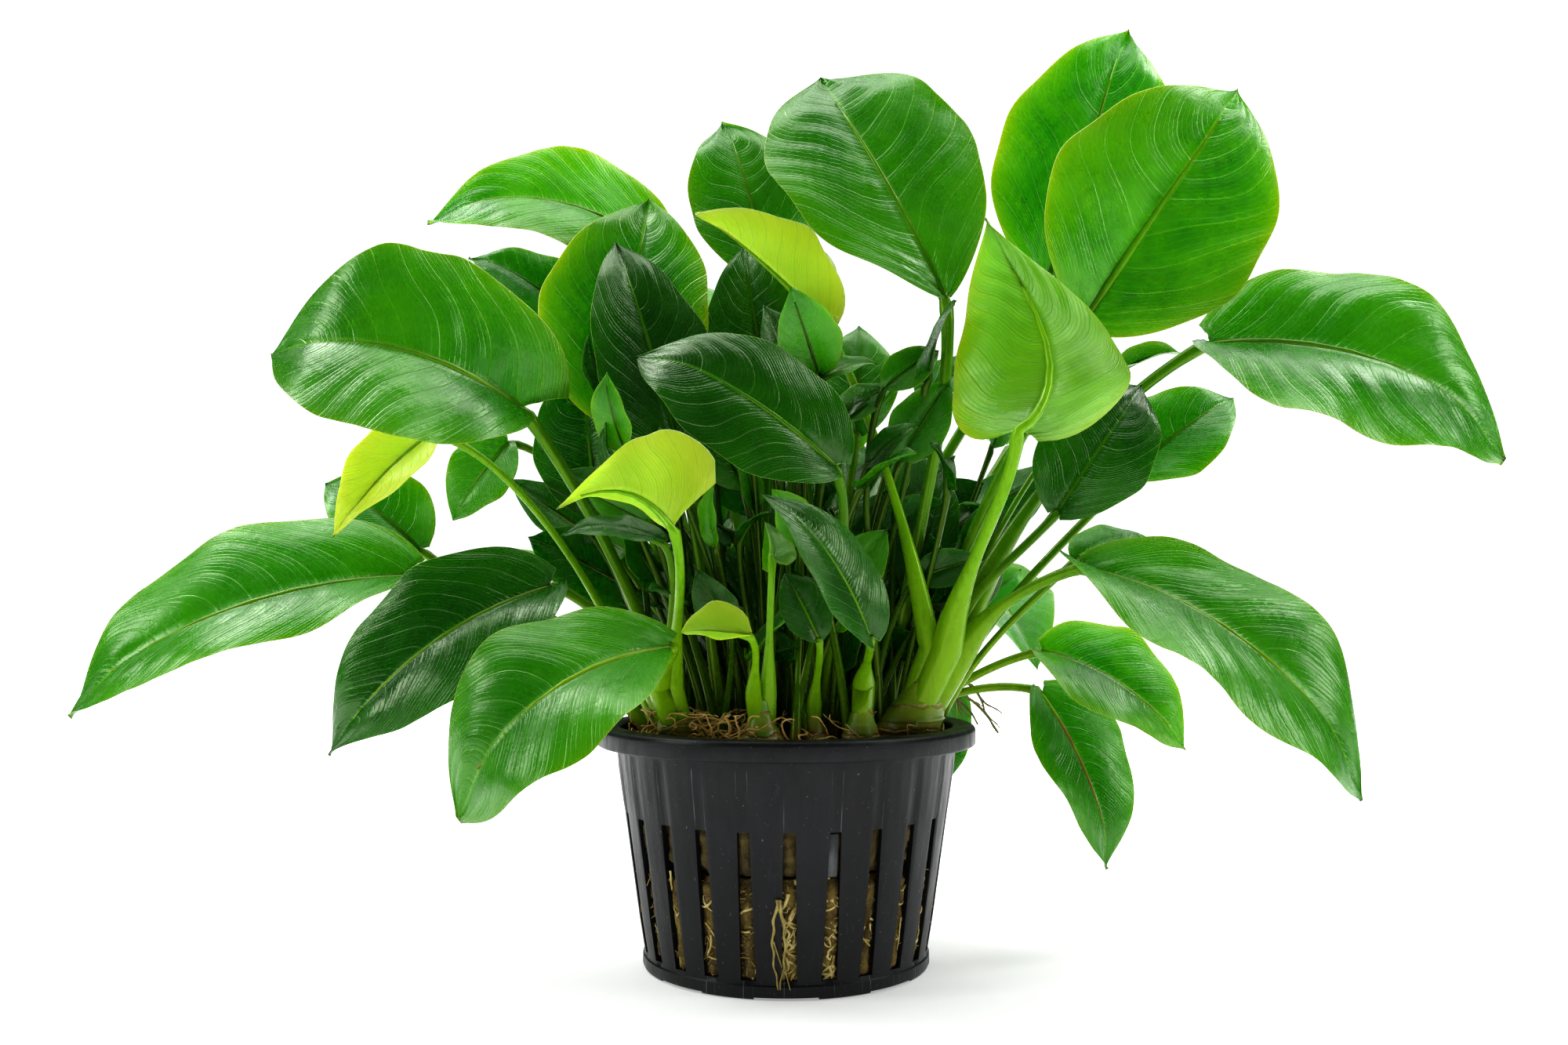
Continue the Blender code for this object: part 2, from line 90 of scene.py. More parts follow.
Leaf = namedtuple("Leaf", "name stand root joint heading rise length width facing arch tone")
LEAF_TABLE = (
    # Top of the plant, facing the front
    ("top_centre", SOIL, (24, 2), (37, -15, 156), 143, 59, 72, 51, (-90, 30), 4, "mature"),
    ("top_right_rear", REAR, (14, 20), (69, 22, 171), 18, 71, 73, 47, (-90, 10), 4, "bright"),
    ("top_right", SOIL, (28, 8), (72, -5, 153), 8, 55, 72, 54, (-90, 12), 4, "bright"),
    ("top_rear", REAR, (9, 21), (-4, 28, 172), 140, 70, 48, 33, (-90, 20), 3, "mature"),
    ("top_tip", SOIL, (2, 25), (-1, 42, 186), 110, 75, 32, 18, (-90, 15), 2, "bright"),
    # Right side, from the top down
    ("right_upper", RHIZOME, (39, -11.5), (105, 6, 149), -14, -23, 73, 52, (-75, 26), 13, "mature"),
    ("right_pale", RHIZOME, (36.5, -18.5), (49, -42, 121), 128, 79, 48, 46, (100, 12), 3, "young"),
    ("right_inner", RHIZOME, (36, -14), (63, -14, 106), 25, 50, 41, 27, (-90, 25), 3, "deep"),
    ("right_small", SOIL, (33, 3), (86, 10, 117), 10, 35, 35, 26, (-90, 35), 3, "mature"),
    ("right_curled", SOIL, (30, -2), (82, 12, 142), 10, 20, 20, 9, (-90, 30), 2, "mature"),
    ("right_big", RHIZOME, (40.5, -15), (66, -27, 92.5), -19, -39, 74, 43, (-65, 34), 11.5, "mature"),
    ("right_behind", SOIL, (35, 7), (70, 0, 95), 20, 15, 22, 15, (-90, 60), 2, "mature"),
    ("right_rear", SOIL, (24, 12), (48, 22, 83), 20, 35, 18, 13, (-90, 30), 1, "bright"),
    ("right_low", SOIL, (29, 11), (64, 15, 72.5), -17, -33, 42, 31, (-75, 40), 6, "mature"),
    ("right_lowest", SOIL, (24, 15), (65, 20, 62), -35, -66, 46, 29, (-60, 20), 4, "mature"),
    ("rim_right", SOIL, (20, 27), (45, 34, 62), -110, -78, 24, 9, (-60, 10), 1, "mature"),
    # Left side, from the top down
    ("left_top", REAR_LEFT, (-23, 16.5), (-33, 34, 179), 192, 6, 62, 36, (-90, 38), 11, "bright"),
    ("left_top_rear", REAR_LEFT, (-25.5, 12.5), (-53, 20, 157), 180, 32, 34, 22, (-90, 40), 3, "mature"),
    ("left_large", SOIL, (-24, -7), (-61, -16, 129.5), 190, 11, 57, 52, (-90, 25), 14.5, "mature"),
    ("left_young", SOIL, (-28, -12), (-82, -15, 124), 215, -48, 33, 18, (-90, 25), 3, "young"),
    ("left_grey", SOIL, (-28, 8), (-70, 13, 125), 185, -55, 24, 18, (-90, 20), 2, "mature"),
    ("left_behind", SOIL, (-30, 4), (-91, 10, 98), 170, 35, 31, 25, (-90, 35), 3, "mature"),
    ("far_left", SOIL, (-30, -4), (-89, -6, 91), 191, -22, 81, 40, (-95, 42), 11, "mature"),
    ("left_mid", LEFT, (-30, -21), (-53, -22, 88.5), 193, -38, 60, 36, (-95, 34), 10, "deep"),
    ("left_under", SOIL, (-26, 0), (-66, 2, 84), 195, -40, 32, 18, (-90, 45), 3, "mature"),
    ("front_left_low", LEFT, (-28, -26), (-24, -46, 75.5), 199, -36, 54, 37, (-85, 46), 13, "mature"),
    # Middle of the plant
    ("centre_left", REAR_LEFT, (-19.5, 13), (-43, 2, 131), 50, 76, 59, 43, (-90, 15), 3, "bright"),
    ("centre_dark", SOIL, (-15, -9), (-24, -14, 116), 148, 70, 61, 29, (-75, 8), 3, "deep"),
    ("centre_rear", SOIL, (-7, 4), (-5, 8, 135), 145, 80, 42, 25, (-90, 15), 3, "deep"),
    ("centre_young", RHIZOME, (33, -16), (8, -9, 152.5), 178, 42, 39, 26, (40, 40), 1, "young"),
    ("centre_glossy", SOIL, (8, -8), (10.5, -35, 114.5), 173, 31, 51, 31, (-90, 26), 7, "deep"),
    ("centre_behind", REAR, (9, 15), (18, 14, 128), 80, 75, 30, 20, (-90, 15), 2, "mature"),
    ("centre_shade", SOIL, (-14, 2), (-47, 10, 108), 140, 80, 40, 28, (-90, 10), 2, "deep"),
    ("front_cup", LEFT, (-25, -25), (-23, -53, 100), 180, 11, 24, 27, (90, 45), 8, "young"),
    ("front_cup_under", LEFT, (-27, -20), (-27, -32, 98), 190, 5, 22, 11, (-90, 60), 2, "deep"),
    ("front", FRONT_RIGHT, (17, -28), (17.5, -43, 77.5), 196, 54, 38, 20, (-60, 32), 4, "deep"),
    ("front_low", FRONT, (6, -26), (7, -34, 77), 150, 60, 17, 11, (-90, 20), 1, "deep"),
    ("front_pale", FRONT_LEFT, (-7, -30), (-8, -44, 78), 183, 3, 14, 13, (-90, 50), 1, "young"),
    ("front_tiny", FRONT_LEFT, (-4, -28), (-3, -38, 94), 100, 45, 12, 12, (90, 30), 1, "bright"),
    # Rear of the plant
    ("rear_left_low", SOIL, (-25, 20), (-60, 45, 92), 140, -25, 60, 34, (120, 50), 8, "mature"),
    ("rear_low", SOIL, (-7, 30), (-12, 62, 88), 100, -30, 55, 34, (95, 50), 8, "deep"),
    ("rear_right_low", SOIL, (24, 22), (48, 55, 90), 55, -25, 58, 34, (60, 50), 8, "mature"),
    ("rear_left", SOIL, (-16, 26), (-35, 50, 130), 125, 20, 55, 37, (110, 50), 6, "bright"),
    ("rear", SOIL, (1, 30), (5, 58, 125), 85, 15, 52, 37, (90, 50), 6, "deep"),
    ("rear_right", SOIL, (20, 8), (62, 42, 128), 40, 12, 55, 36, (60, 50), 6, "mature"),
    ("rear_top", SOIL, (-9, 20), (-10, 45, 150), 95, 35, 45, 33, (90, 45), 5, "bright"),
)
LEAVES = tuple(Leaf(*row) for row in LEAF_TABLE)

CROWN_NAMES = (RHIZOME, LEFT, FRONT_LEFT, FRONT, FRONT_RIGHT, REAR, REAR_LEFT)
GAP = 0.3

# Leaf outline: power at a plain tip, what a drawn-out tip adds to it, and the share that closes the tip
OUTLINE_TIP_POWER = 0.72
TIP_POWER_SPAN = 0.45
DRIP_TIP = 0.03

# Leaf surface; heights of the quilting, waves and swells are shares of the blade's width
BLADE_THICKNESS = 0.42
STATIONS_PER_MM = 1.0
VEINS = 9.0
VEIN_SWEEP = 0.30
VEIN_SWEEP_POWER = 1.35
VEIN_DRIFT = 0.9
MIDRIB_GROOVE = 0.40
QUILT_HEIGHT = 0.0125
WAVE_TURN = 6.28
WAVES = 2.2
WAVE_HEIGHT = 0.026
SWELL_HEIGHT = 0.022
TWIST = 7
FOOT_FOLD = 16
STALK_RADIUS = 0.62
STALK_RADIUS_PER_WIDTH = 0.0155
STALK_STEPS = 28
STALK_SLOT = 1

# How far a stalk widens at its foot, by what it stands on
STALK_FLARES = {RHIZOME: 2.7, LEFT: 2.3, FRONT_LEFT: 2.4, FRONT: 2.4, FRONT_RIGHT: 2.8, SOIL: 1.7}
COMMON_FLARE = 1.9

# How a blade is formed. Pairs hold one value for each half, the one at -side first: fold is the
# angle at which it rises off the midrib, roll how much it turns on by the margin, lobe how far its
# base reaches behind the joint and share its part of the width. Base narrows the foot of the blade,
# tip draws its point out, wave ruffles the margin and skew bows the blade sideways, in mm.
Form = namedtuple("Form", "fold roll lobe share base tip wave skew")
COMMON = Form((17, 17), (-16, -16), (0.06, 0.06), (1, 1), 0.55, 0.45, 1, 0)
OWN_FORMS = {
    "top_centre": dict(fold=(10, 8), roll=(-14, -10), lobe=(0.02, 0.02), base=0.75, tip=-0.25, wave=0.6),
    "top_rear": dict(tip=0.1, wave=1.6, fold=(10, 10)),
    "top_right": dict(fold=(16, 12), roll=(-10, -14), lobe=(0.02, 0.05), tip=0.2, wave=0.5),
    "top_right_rear": dict(fold=(14, 12), tip=0.4, wave=0.5),
    "left_large": dict(fold=(20, 16), roll=(-12, -16), lobe=(0.06, 0.18), base=0.45, tip=-0.3, wave=0.8),
    "left_top": dict(fold=(12, 20), roll=(-20, -8), tip=0.5),
    "right_upper": dict(share=(1, 1.1), tip=0.3, wave=1.2, roll=(-20, -20)),
    "right_big": dict(
        share=(0.92, 1), base=0.65, tip=-0.05, wave=1.5, roll=(-20, -20), lobe=(0.04, 0.1)),
    "right_pale": dict(
        fold=(6, 16), roll=(26, 40), lobe=(0.04, 0), base=0.4, tip=0.8, wave=0.5, skew=-10.5),
    "right_curled": dict(fold=(45, 45), roll=(20, 20)),
    "far_left": dict(share=(0.85, 1.15), tip=0.35, roll=(-18, -22), lobe=(0, 0.06)),
    "left_young": dict(fold=(20, 20), roll=(10, 10), tip=0.7),
    "left_mid": dict(tip=0.5, roll=(-24, -18)),
    "front_left_low": dict(
        fold=(18, 14), roll=(-22, -20), lobe=(0, 0.06), base=0.65, tip=-0.15, wave=1.2),
    "centre_left": dict(fold=(16, 14), roll=(0, 0), tip=0.3, wave=0.5),
    "centre_dark": dict(fold=(16, 14), tip=0.3, wave=0.4),
    "centre_young": dict(
        fold=(48, 80), roll=(18, 4), lobe=(0.12, 0.02), share=(1, 1.3), tip=0.5, wave=0.9),
    "centre_glossy": dict(fold=(10, 12), roll=(-26, -30), tip=0.3, wave=0.5),
    "front_cup": dict(
        fold=(36, 10), roll=(10, -10), lobe=(0.28, 0), share=(1.2, 0.35), base=0.16, tip=0.9, wave=0.6),
    "front_tiny": dict(fold=(40, 40), roll=(10, 10)),
    "front_pale": dict(fold=(15, 25), roll=(20, 10), tip=0.1),
    "front": dict(fold=(18, 12), roll=(-20, -20), tip=0.6, wave=0.4),
}
FORMS = {name: COMMON._replace(**own) for name, own in OWN_FORMS.items()}

# Net pot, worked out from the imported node's box
POT_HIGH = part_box("net_pot")[1]
RIM_RADIUS = POT_HIGH.x / MM
POT_HEIGHT = POT_HIGH.z / MM
RIM_DROP = 4.6
WALL_TOP_RADIUS = RIM_RADIUS - 4.5
BASE_RADIUS = RIM_RADIUS - 12.0
WALL = 1.3
FLOOR = 1.6
SLOTS = 24
SLOT_PHASE = 1.0
SLOT_BOTTOM = 4.0
SLOT_TOP = 36.0
SLOT_WIDTH_BOTTOM = 3.4
SLOT_WIDTH_TOP = 2.6
FEET = 8
FOOT_WIDTH = 12.0
FOOT_RECESS = 0.6

# Moulded panels: how far they stand out, the share of a pitch at which they start, and their top
PANEL_STEP = 0.38
PANEL_EDGE = 0.12
PANEL_TOP = 50.0

# Stone wool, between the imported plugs' heights
WOOL_LOW, WOOL_SEAM_LOW = (corner.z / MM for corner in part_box("stone_wool_lower"))
WOOL_SEAM_HIGH, WOOL_TOP = (corner.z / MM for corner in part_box("stone_wool_upper"))

# Roots on the wool stay within a reach of the pot's axis and below a height
TANGLE_REACH = 37.6
TANGLE_TOP = 60.5

# Scrap of foam behind a slot: thickness, width and height, its turn about the pot and its middle
SLIVER_SIZE = (0.6, 2.9, 9.2)
SLIVER_TURN = -75.0
SLIVER_Z = 31.0


# --- helpers ---


def direction(heading, rise):
    """Unit vector for a compass heading seen from above and a rise over the level."""
    return polar(cos(radians(rise)), heading, sin(radians(rise)))


def polar(radius, turn, z):
    angle = radians(turn)
    return Vector((radius * cos(angle), radius * sin(angle), z))


def smooth(low, high, value):
    share = min(1, max(0, (value - low) / (high - low)))
    return share * share * (3 - 2 * share)


def put(name, data):
    """A new object in the scene."""
    thing = bpy.data.objects.new(name, data)
    bpy.context.scene.collection.objects.link(thing)
    return thing


def put_mesh(name, form, material=None):
    """A new object in the scene with a bmesh's shape, which frees the bmesh."""
    mesh = bpy.data.meshes.new(name)
    form.to_mesh(mesh)
    form.free()
    if material:
        mesh.materials.append(material)
    return put(name, mesh)


def finish_piece(name, form, material, slot, *replaced):
    """Turns a bmesh into a shown piece that rides on the root body."""
    piece = put_mesh("look_" + name, form, material)
    piece.data.shade_smooth()
    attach(piece, "root")
    if replaced:
        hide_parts(*replaced)
    return piece


def bridge(form, rings):
    """Quads between rings of equal count."""
    count = len(rings[0])
    for low, high in zip(rings, rings[1:]):
        for i in range(count):
            j = (i + 1) % count
            form.faces.new((low[i], low[j], high[j], high[i]))


def cap(form, rings):
    form.faces.new(list(reversed(rings[0])))
    form.faces.new(rings[-1])


def tube(form, points, radii, sides, side=None, groove=None):
    """A capped tube through points, its rings carried along without twist."""
    rings = []
    for index, point in enumerate(points):
        before = points[max(0, index - 1)]
        after = points[min(len(points) - 1, index + 1)]
        tangent = (after - before).normalized()
        if side is None:
            side = tangent.orthogonal()
        side = (side - tangent * side.dot(tangent)).normalized()
        other = tangent.cross(side)
        ring = []
        for k in range(sides):
            angle = tau * k / sides
            radius = radii[index] * (groove(index, angle) if groove else 1)
            spoke = side * cos(angle) + other * sin(angle)
            ring.append(form.verts.new((point + spoke * radius) * MM))
        rings.append(ring)
    bridge(form, rings)
    cap(form, rings)


def turned_cube(form, turn, place):
    """A cube whose corners a function places as if it faced +X, turned about the pot's axis."""
    turned = Matrix.Rotation(radians(turn), 3, "Z")
    for vert in bmesh.ops.create_cube(form, size=1)["verts"]:
        vert.co = turned @ Vector(place(vert.co)) * MM


# --- material nodes ---


class Nodes:
    """Short calls that add and link shader nodes."""

    def __init__(self, name):
        self.material = bpy.data.materials.new(name)
        self.material.use_nodes = True
        self.tree = self.material.node_tree
        self.shader = self.tree.nodes["Principled BSDF"]
        self.place = self.add("TexCoord").outputs["Object"]

    def add(self, kind, **values):
        node = self.tree.nodes.new("ShaderNode" + kind)
        for key, value in values.items():
            setattr(node, key, value)
        return node

    def feed(self, socket, value):
        if isinstance(value, bpy.types.NodeSocket):
            self.tree.links.new(value, socket)
        else:
            socket.default_value = value

    def math(self, operation, a, b=0):
        node = self.add("Math", operation=operation)
        self.feed(node.inputs[0], a)
        self.feed(node.inputs[1], b)
        return node.outputs[0]

    def times(self, a, b):
        return self.math("MULTIPLY", a, b)

    def minus(self, a, b):
        return self.math("SUBTRACT", a, b)

    def apart(self, a, b):
        return self.math("ABSOLUTE", self.minus(a, b))

    def off_middle(self, value):
        """How far a value is from the middle of the whole step it lies in."""
        return self.apart(self.math("FRACT", value), 0.5)

    def split(self, vector):
        node = self.add("SeparateXYZ")
        self.feed(node.inputs[0], vector)
        return node.outputs

    def drawn_out(self, squeeze):
        """Object coordinates in which patterns are drawn out along Z."""
        node = self.add("Mapping")
        self.feed(node.inputs["Vector"], self.place)
        node.inputs["Scale"].default_value = (1, 1, squeeze)
        return node.outputs[0]

    def mix(self, share, a, b):
        node = self.add("Mix", data_type="RGBA")
        self.feed(node.inputs[0], share)
        self.feed(node.inputs[6], a)
        self.feed(node.inputs[7], b)
        return node.outputs[2]

    def span(self, value, low, high, to_low=0, to_high=1):
        node = self.add("MapRange", interpolation_type="SMOOTHSTEP")
        for index, item in enumerate((value, low, high, to_low, to_high)):
            self.feed(node.inputs[index], item)
        return node.outputs[0]

    def noise(self, scale, detail=3, roughness=0.5, distortion=0, vector=None):
        node = self.add("TexNoise")
        values = {"Vector": vector or self.place, "Scale": scale, "Detail": detail}
        values |= {"Roughness": roughness, "Distortion": distortion}
        for key, value in values.items():
            self.feed(node.inputs[key], value)
        return node.outputs["Fac"]

    def bump(self, height, strength, distance):
        node = self.add("Bump")
        self.feed(node.inputs["Strength"], strength)
        self.feed(node.inputs["Distance"], distance)
        self.feed(node.inputs["Height"], height)
        return node.outputs[0]

    def set(self, **values):
        for key, value in values.items():
            self.feed(self.shader.inputs[key.replace("_", " ")], value)


def rgb(red, green, blue):
    return (red, green, blue, 1)


# Per tone: face, face towards its margin, veins, roughness, glow through the blade
Tone = namedtuple("Tone", "dark light vein rough glow")
TONES = {
    "deep": Tone((0.0028, 0.038, 0.0006), (0.012, 0.095, 0.001), (0.05, 0.2, 0.006), 0.25, 0.08),
    "mature": Tone((0.012, 0.098, 0.0008), (0.035, 0.185, 0.0014), (0.09, 0.29, 0.008), 0.27, 0.2),
    "bright": Tone((0.007, 0.075, 0.0003), (0.062, 0.245, 0.0006), (0.14, 0.37, 0.005), 0.3, 0.4),
    "pale": Tone((0.07, 0.22, 0.002), (0.125, 0.32, 0.006), (0.03, 0.12, 0.002), 0.36, 0.4),
    # lit_young is a lighter copy of young: painted light for a leaf in shade
    "lit_young": Tone((0.45, 0.68, 0.02), (0.6, 0.82, 0.045), (0.06, 0.2, 0.003), 0.36, 0.5),
    "young": Tone((0.28, 0.51, 0.012), (0.43, 0.69, 0.035), (0.05, 0.19, 0.003), 0.36, 0.5),
}

# Per tone: a stalk at its foot and higher up; shade is a darker copy for the inner shoots, painted shade
# in the middle of the plant
STALK_TONES = {
    "shade": ((0.036, 0.095, 0.001), (0.009, 0.05, 0.001)),
    "deep": ((0.12, 0.27, 0.003), (0.028, 0.135, 0.001)),
    "mature": ((0.16, 0.33, 0.004), (0.05, 0.19, 0.002)),
    "bright": ((0.15, 0.35, 0.006), (0.08, 0.28, 0.004)),
    "young": ((0.17, 0.36, 0.006), (0.13, 0.34, 0.005)),
}

# A leaf whose look differs from the others of its tone
# right_low takes the bright look and left_young the lit_young look, lighter than their own tones: painted
# light on leaves in shade
OWN_LOOKS = {"right_pale": "pale", "right_low": "bright", "left_young": "lit_young"}


def leaf_material(tone_name):
    """A waxy leaf: quilted between sunken side veins, with a pale midrib and a thin pale margin."""
    tone = TONES[tone_name]
    n = Nodes("leaf_" + tone_name)
    across, run, _ = n.split(n.add("UVMap", uv_map="leaf").outputs[0])
    side = n.apart(n.times(across, 2), 1)
    vein = n.span(n.off_middle(run), 0.462, 0.5)
    fine_run = n.math("ADD", n.times(run, 5), n.times(n.noise(90), 1.6))
    fine = n.span(n.off_middle(fine_run), 0.3, 0.5)
    midrib_line = n.span(side, 0.012, 0.045, 1, 0)
    margin = n.span(side, 0.99, 0.998)
    blotch = n.noise(34, 4, 0.6)
    grain = n.noise(700, 3, 0.6)
    speck = n.span(n.noise(1300, 2, 0.5), 0.7, 0.78)
    light = rgb(*tone.light)
    face = n.mix(n.span(blotch, 0.32, 0.7), rgb(*tone.dark), light)
    face = n.mix(n.times(n.span(side, 0.35, 1), 0.45), face, light)
    for line, share in ((fine, 0.07), (vein, 0.3), (midrib_line, 0.7)):
        face = n.mix(n.times(line, share), face, rgb(*tone.vein))
    face = n.mix(n.times(margin, 0.55), face, rgb(0.22, 0.46, 0.05))
    n.set(Base_Color=face)
    cloud = n.noise(170, 4, 0.65)
    n.set(Roughness=n.span(cloud, 0.3, 0.72, tone.rough - 0.06, tone.rough + 0.08))
    n.set(Specular_IOR_Level=0.46, Specular_Tint=rgb(0.78, 1, 0.6))
    n.set(Subsurface_Weight=tone.glow, Subsurface_Scale=0.004, Subsurface_Radius=(0.35, 1, 0.06))
    relief = n.times(cloud, 1.2)
    for pattern, height in ((fine, -0.16), (vein, -0.4), (grain, 0.12), (speck, 0.2)):
        relief = n.math("ADD", relief, n.times(pattern, height))
    n.set(Normal=n.bump(relief, 0.45, 0.0004))
    return n.material


def stalk_material(name, low, high):
    """Smooth green stalk, paler towards its foot, with faint lengthwise streaks."""
    n = Nodes(name)
    z = n.split(n.place)[2]
    height = n.span(z, 0.062, 0.105)
    brown = n.span(z, 0.052, 0.06, 1, 0)
    streak = n.noise(620, 3, 0.6, vector=n.drawn_out(0.12))
    patch = n.noise(120, 4, 0.6)
    colour = n.mix(height, low, high)
    colour = n.mix(n.times(n.span(streak, 0.45, 0.7), 0.3), colour, rgb(0.03, 0.13, 0.004))
    colour = n.mix(n.times(n.span(patch, 0.5, 0.75), 0.35), colour, low)
    colour = n.mix(n.times(brown, n.span(patch, 0.3, 0.6)), colour, rgb(0.2, 0.11, 0.02))
    n.set(Base_Color=colour, Roughness=n.span(patch, 0.3, 0.7, 0.18, 0.34))
    n.set(Specular_IOR_Level=0.5, Specular_Tint=rgb(0.8, 1, 0.2))
    n.set(Subsurface_Weight=0.05, Subsurface_Scale=0.003, Subsurface_Radius=(0.4, 1, 0.1))
    n.set(Normal=n.bump(streak, 0.18, 0.0002))
    return n.material


def rhizome_material():
    """Yellow-green stem that browns at its foot, ringed by golden-brown scars."""
    n = Nodes("rhizome")
    z = n.split(n.place)[2]
    low = n.span(z, 0.052, 0.064)
    blotch = n.noise(140, 5, 0.65)
    ring_at = n.times(n.math("ADD", z, n.times(blotch, 0.004)), 190)
    ring = n.span(n.off_middle(ring_at), 0.4, 0.5)
    colour = n.mix(low, rgb(0.22, 0.12, 0.012), rgb(0.21, 0.34, 0.008))
    colour = n.mix(n.span(blotch, 0.4, 0.75), colour, rgb(0.09, 0.24, 0.007))
    colour = n.mix(n.times(ring, 0.8), colour, rgb(0.22, 0.11, 0.02))
    n.set(Base_Color=colour, Roughness=n.span(blotch, 0.2, 0.8, 0.2, 0.48))
    n.set(Subsurface_Weight=0.15, Subsurface_Scale=0.003)
    n.set(Normal=n.bump(n.minus(blotch, ring), 0.5, 0.0006))
    return n.material


def root_material(name, dark, light):
    n = Nodes(name)
    blotch = n.noise(260, 4, 0.7)
    n.set(Base_Color=n.mix(n.span(blotch, 0.3, 0.7), dark, light), Roughness=0.55)
    n.set(Subsurface_Weight=0.1, Subsurface_Scale=0.002)
    n.set(Normal=n.bump(blotch, 0.4, 0.0003))
    return n.material


def wool_material():
    """Olive-brown stone wool, stained darker in patches."""
    n = Nodes("wool")
    stain = n.noise(90, 5, 0.65)
    fibre = n.noise(900, 5, 0.75, 1.5)
    colour = n.mix(n.span(stain, 0.32, 0.68), rgb(0.06, 0.036, 0.008), rgb(0.34, 0.24, 0.055))
    colour = n.mix(n.times(n.span(fibre, 0.5, 0.72), 0.6), colour, rgb(0.52, 0.4, 0.13))
    # Darker from the lower seam up into the upper plug
    darker_upward = n.span(n.split(n.place)[2], WOOL_SEAM_LOW * MM, WOOL_SEAM_HIGH * MM, 0, 0.55)
    colour = n.mix(darker_upward, colour, rgb(0.05, 0.044, 0.022))
    n.set(Base_Color=colour, Roughness=0.95)
    n.set(Normal=n.bump(fibre, 0.9, 0.0012))
    return n.material


def pot_material():
    """Satin black moulded plastic with dust, flow marks, pale lines along the panel edges and a painted
    highlight along the bead under the rim.
    """
    n = Nodes("pot")
    stretched = n.drawn_out(0.18)
    streak = n.noise(330, 5, 0.7, vector=stretched)
    dust = n.noise(1500, 2, 0.5)
    cloud = n.noise(45, 4, 0.6)
    colour = n.mix(n.span(cloud, 0.3, 0.7), rgb(0.004, 0.0043, 0.0054), rgb(0.0085, 0.009, 0.011))
    colour = n.mix(n.times(n.span(streak, 0.6, 0.78), 0.25), colour, rgb(0.07, 0.073, 0.08))
    colour = n.mix(n.times(n.span(dust, 0.7, 0.78), 0.45), colour, rgb(0.22, 0.22, 0.21))
    x, y, z = n.split(n.place)
    turn = n.minus(n.times(n.math("ARCTAN2", y, x), SLOTS / tau), SLOT_PHASE * SLOTS / 360)
    # Pale lines along the panel edges, and a painted highlight along the bead under the rim
    off_edge = n.apart(n.off_middle(turn), 0.5 - PANEL_EDGE)
    off_bead = n.apart(z, (POT_HEIGHT - RIM_DROP) * MM)
    edges = (n.span(off_edge, 0, 0.016, 1, 0), n.span(off_bead, 0, 0.0004, 1, 0))
    edge_lines_and_bead_highlight = n.math("MAXIMUM", *edges)
    edge_lines_and_bead_highlight = n.times(edge_lines_and_bead_highlight, n.span(n.noise(200, 4, 0.6, vector=stretched), 0.45, 0.68))
    edge_lines_and_bead_highlight = n.times(edge_lines_and_bead_highlight, n.span(z, 0.0485, 0.0495, 1, 0))
    colour = n.mix(n.times(edge_lines_and_bead_highlight, 0.6), colour, rgb(0.2, 0.205, 0.22))
    n.set(Base_Color=colour, Roughness=n.span(streak, 0.3, 0.75, 0.34, 0.52))
    n.set(Specular_IOR_Level=0.24)
    relief = n.math("ADD", n.times(streak, 0.5), n.times(dust, 0.35))
    n.set(Normal=n.bump(relief, 0.28, 0.0004))
    return n.material


# --- leaves ---


def outline(share, form):
    """Half-width of a blade, from 0 at its joint to 1 at its widest and 0 at its tip."""
    power = OUTLINE_TIP_POWER + TIP_POWER_SPAN * form.tip
    widest = form.base / (form.base + power)
    drip = 1 - exp((share - 1) / DRIP_TIP)
    return drip * (share / widest) ** form.base * ((1 - share) / (1 - widest)) ** power


def blade_axes(leaf):
    along = direction(leaf.heading, leaf.rise)
    faced = direction(*leaf.facing)
    normal = (faced - along * faced.dot(along)).normalized()
    return along, normal, along.cross(normal)


def midrib(leaf, share):
    along, normal, _ = blade_axes(leaf)
    bow = 4 * leaf.arch * share * (1 - share)
    return Vector(leaf.joint) + along * leaf.length * share + normal * bow


def stand_height(leaf):
    if leaf.stand == SOIL:
        return WOOL_TOP + GAP
    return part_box(leaf.stand)[1].z / MM


def stalk_point(leaf, share):
    """Cubic curve from the root, rising at first, to the blade's joint."""
    along, normal, _ = blade_axes(leaf)
    root = Vector((*leaf.root, stand_height(leaf)))
    joint = Vector(leaf.joint)
    reach = (joint - root).length
    entry = (along * leaf.length + normal * 4 * leaf.arch).normalized()
    entry = (entry + (joint - root).normalized()).normalized()
    rising = ((joint - root).normalized() + Vector((0, 0, 1))).normalized()
    first = root + rising * reach * 0.35
    second = joint - entry * reach * 0.25
    keep = 1 - share
    return (
        root * keep ** 3 + first * 3 * keep ** 2 * share
        + second * 3 * keep * share ** 2 + joint * share ** 3
    )


def vein_run(share, across, seed):
    """How many side veins lie below a place on the blade; they drift and are unevenly spaced."""
    run = VEINS * (share - VEIN_SWEEP * abs(across) ** VEIN_SWEEP_POWER)
    return run + VEIN_DRIFT * noise.noise(Vector((share * 3.1, across * 1.3, seed * 5.3)))


def quilt(share, across, seed):
    """Height of the blade between its side veins, from 0 in a vein to 1 on a crown."""
    reach = abs(across)
    pillow = sin(pi * vein_run(share, across, seed)) ** 2
    uneven = 0.75 + 0.8 * noise.noise(Vector((share * 5, across * 3, seed * 2.7)))
    return pillow * uneven * smooth(0, 0.2, reach) * (1 - 0.7 * smooth(0.6, 1, reach))


def bend(half, reach, fold, roll):
    """Distance out and rise of a half blade that leaves the midrib at a fold and rolls on."""
    fold, roll = radians(fold), radians(roll)
    if abs(roll) < 0.01:
        return half * reach * cos(fold), half * reach * sin(fold)
    end = fold + roll * reach
    return half * (sin(end) - sin(fold)) / roll, half * (cos(fold) - cos(end)) / roll


def skew_drift(form, share):
    return form.skew * sin(pi * share ** 0.72)


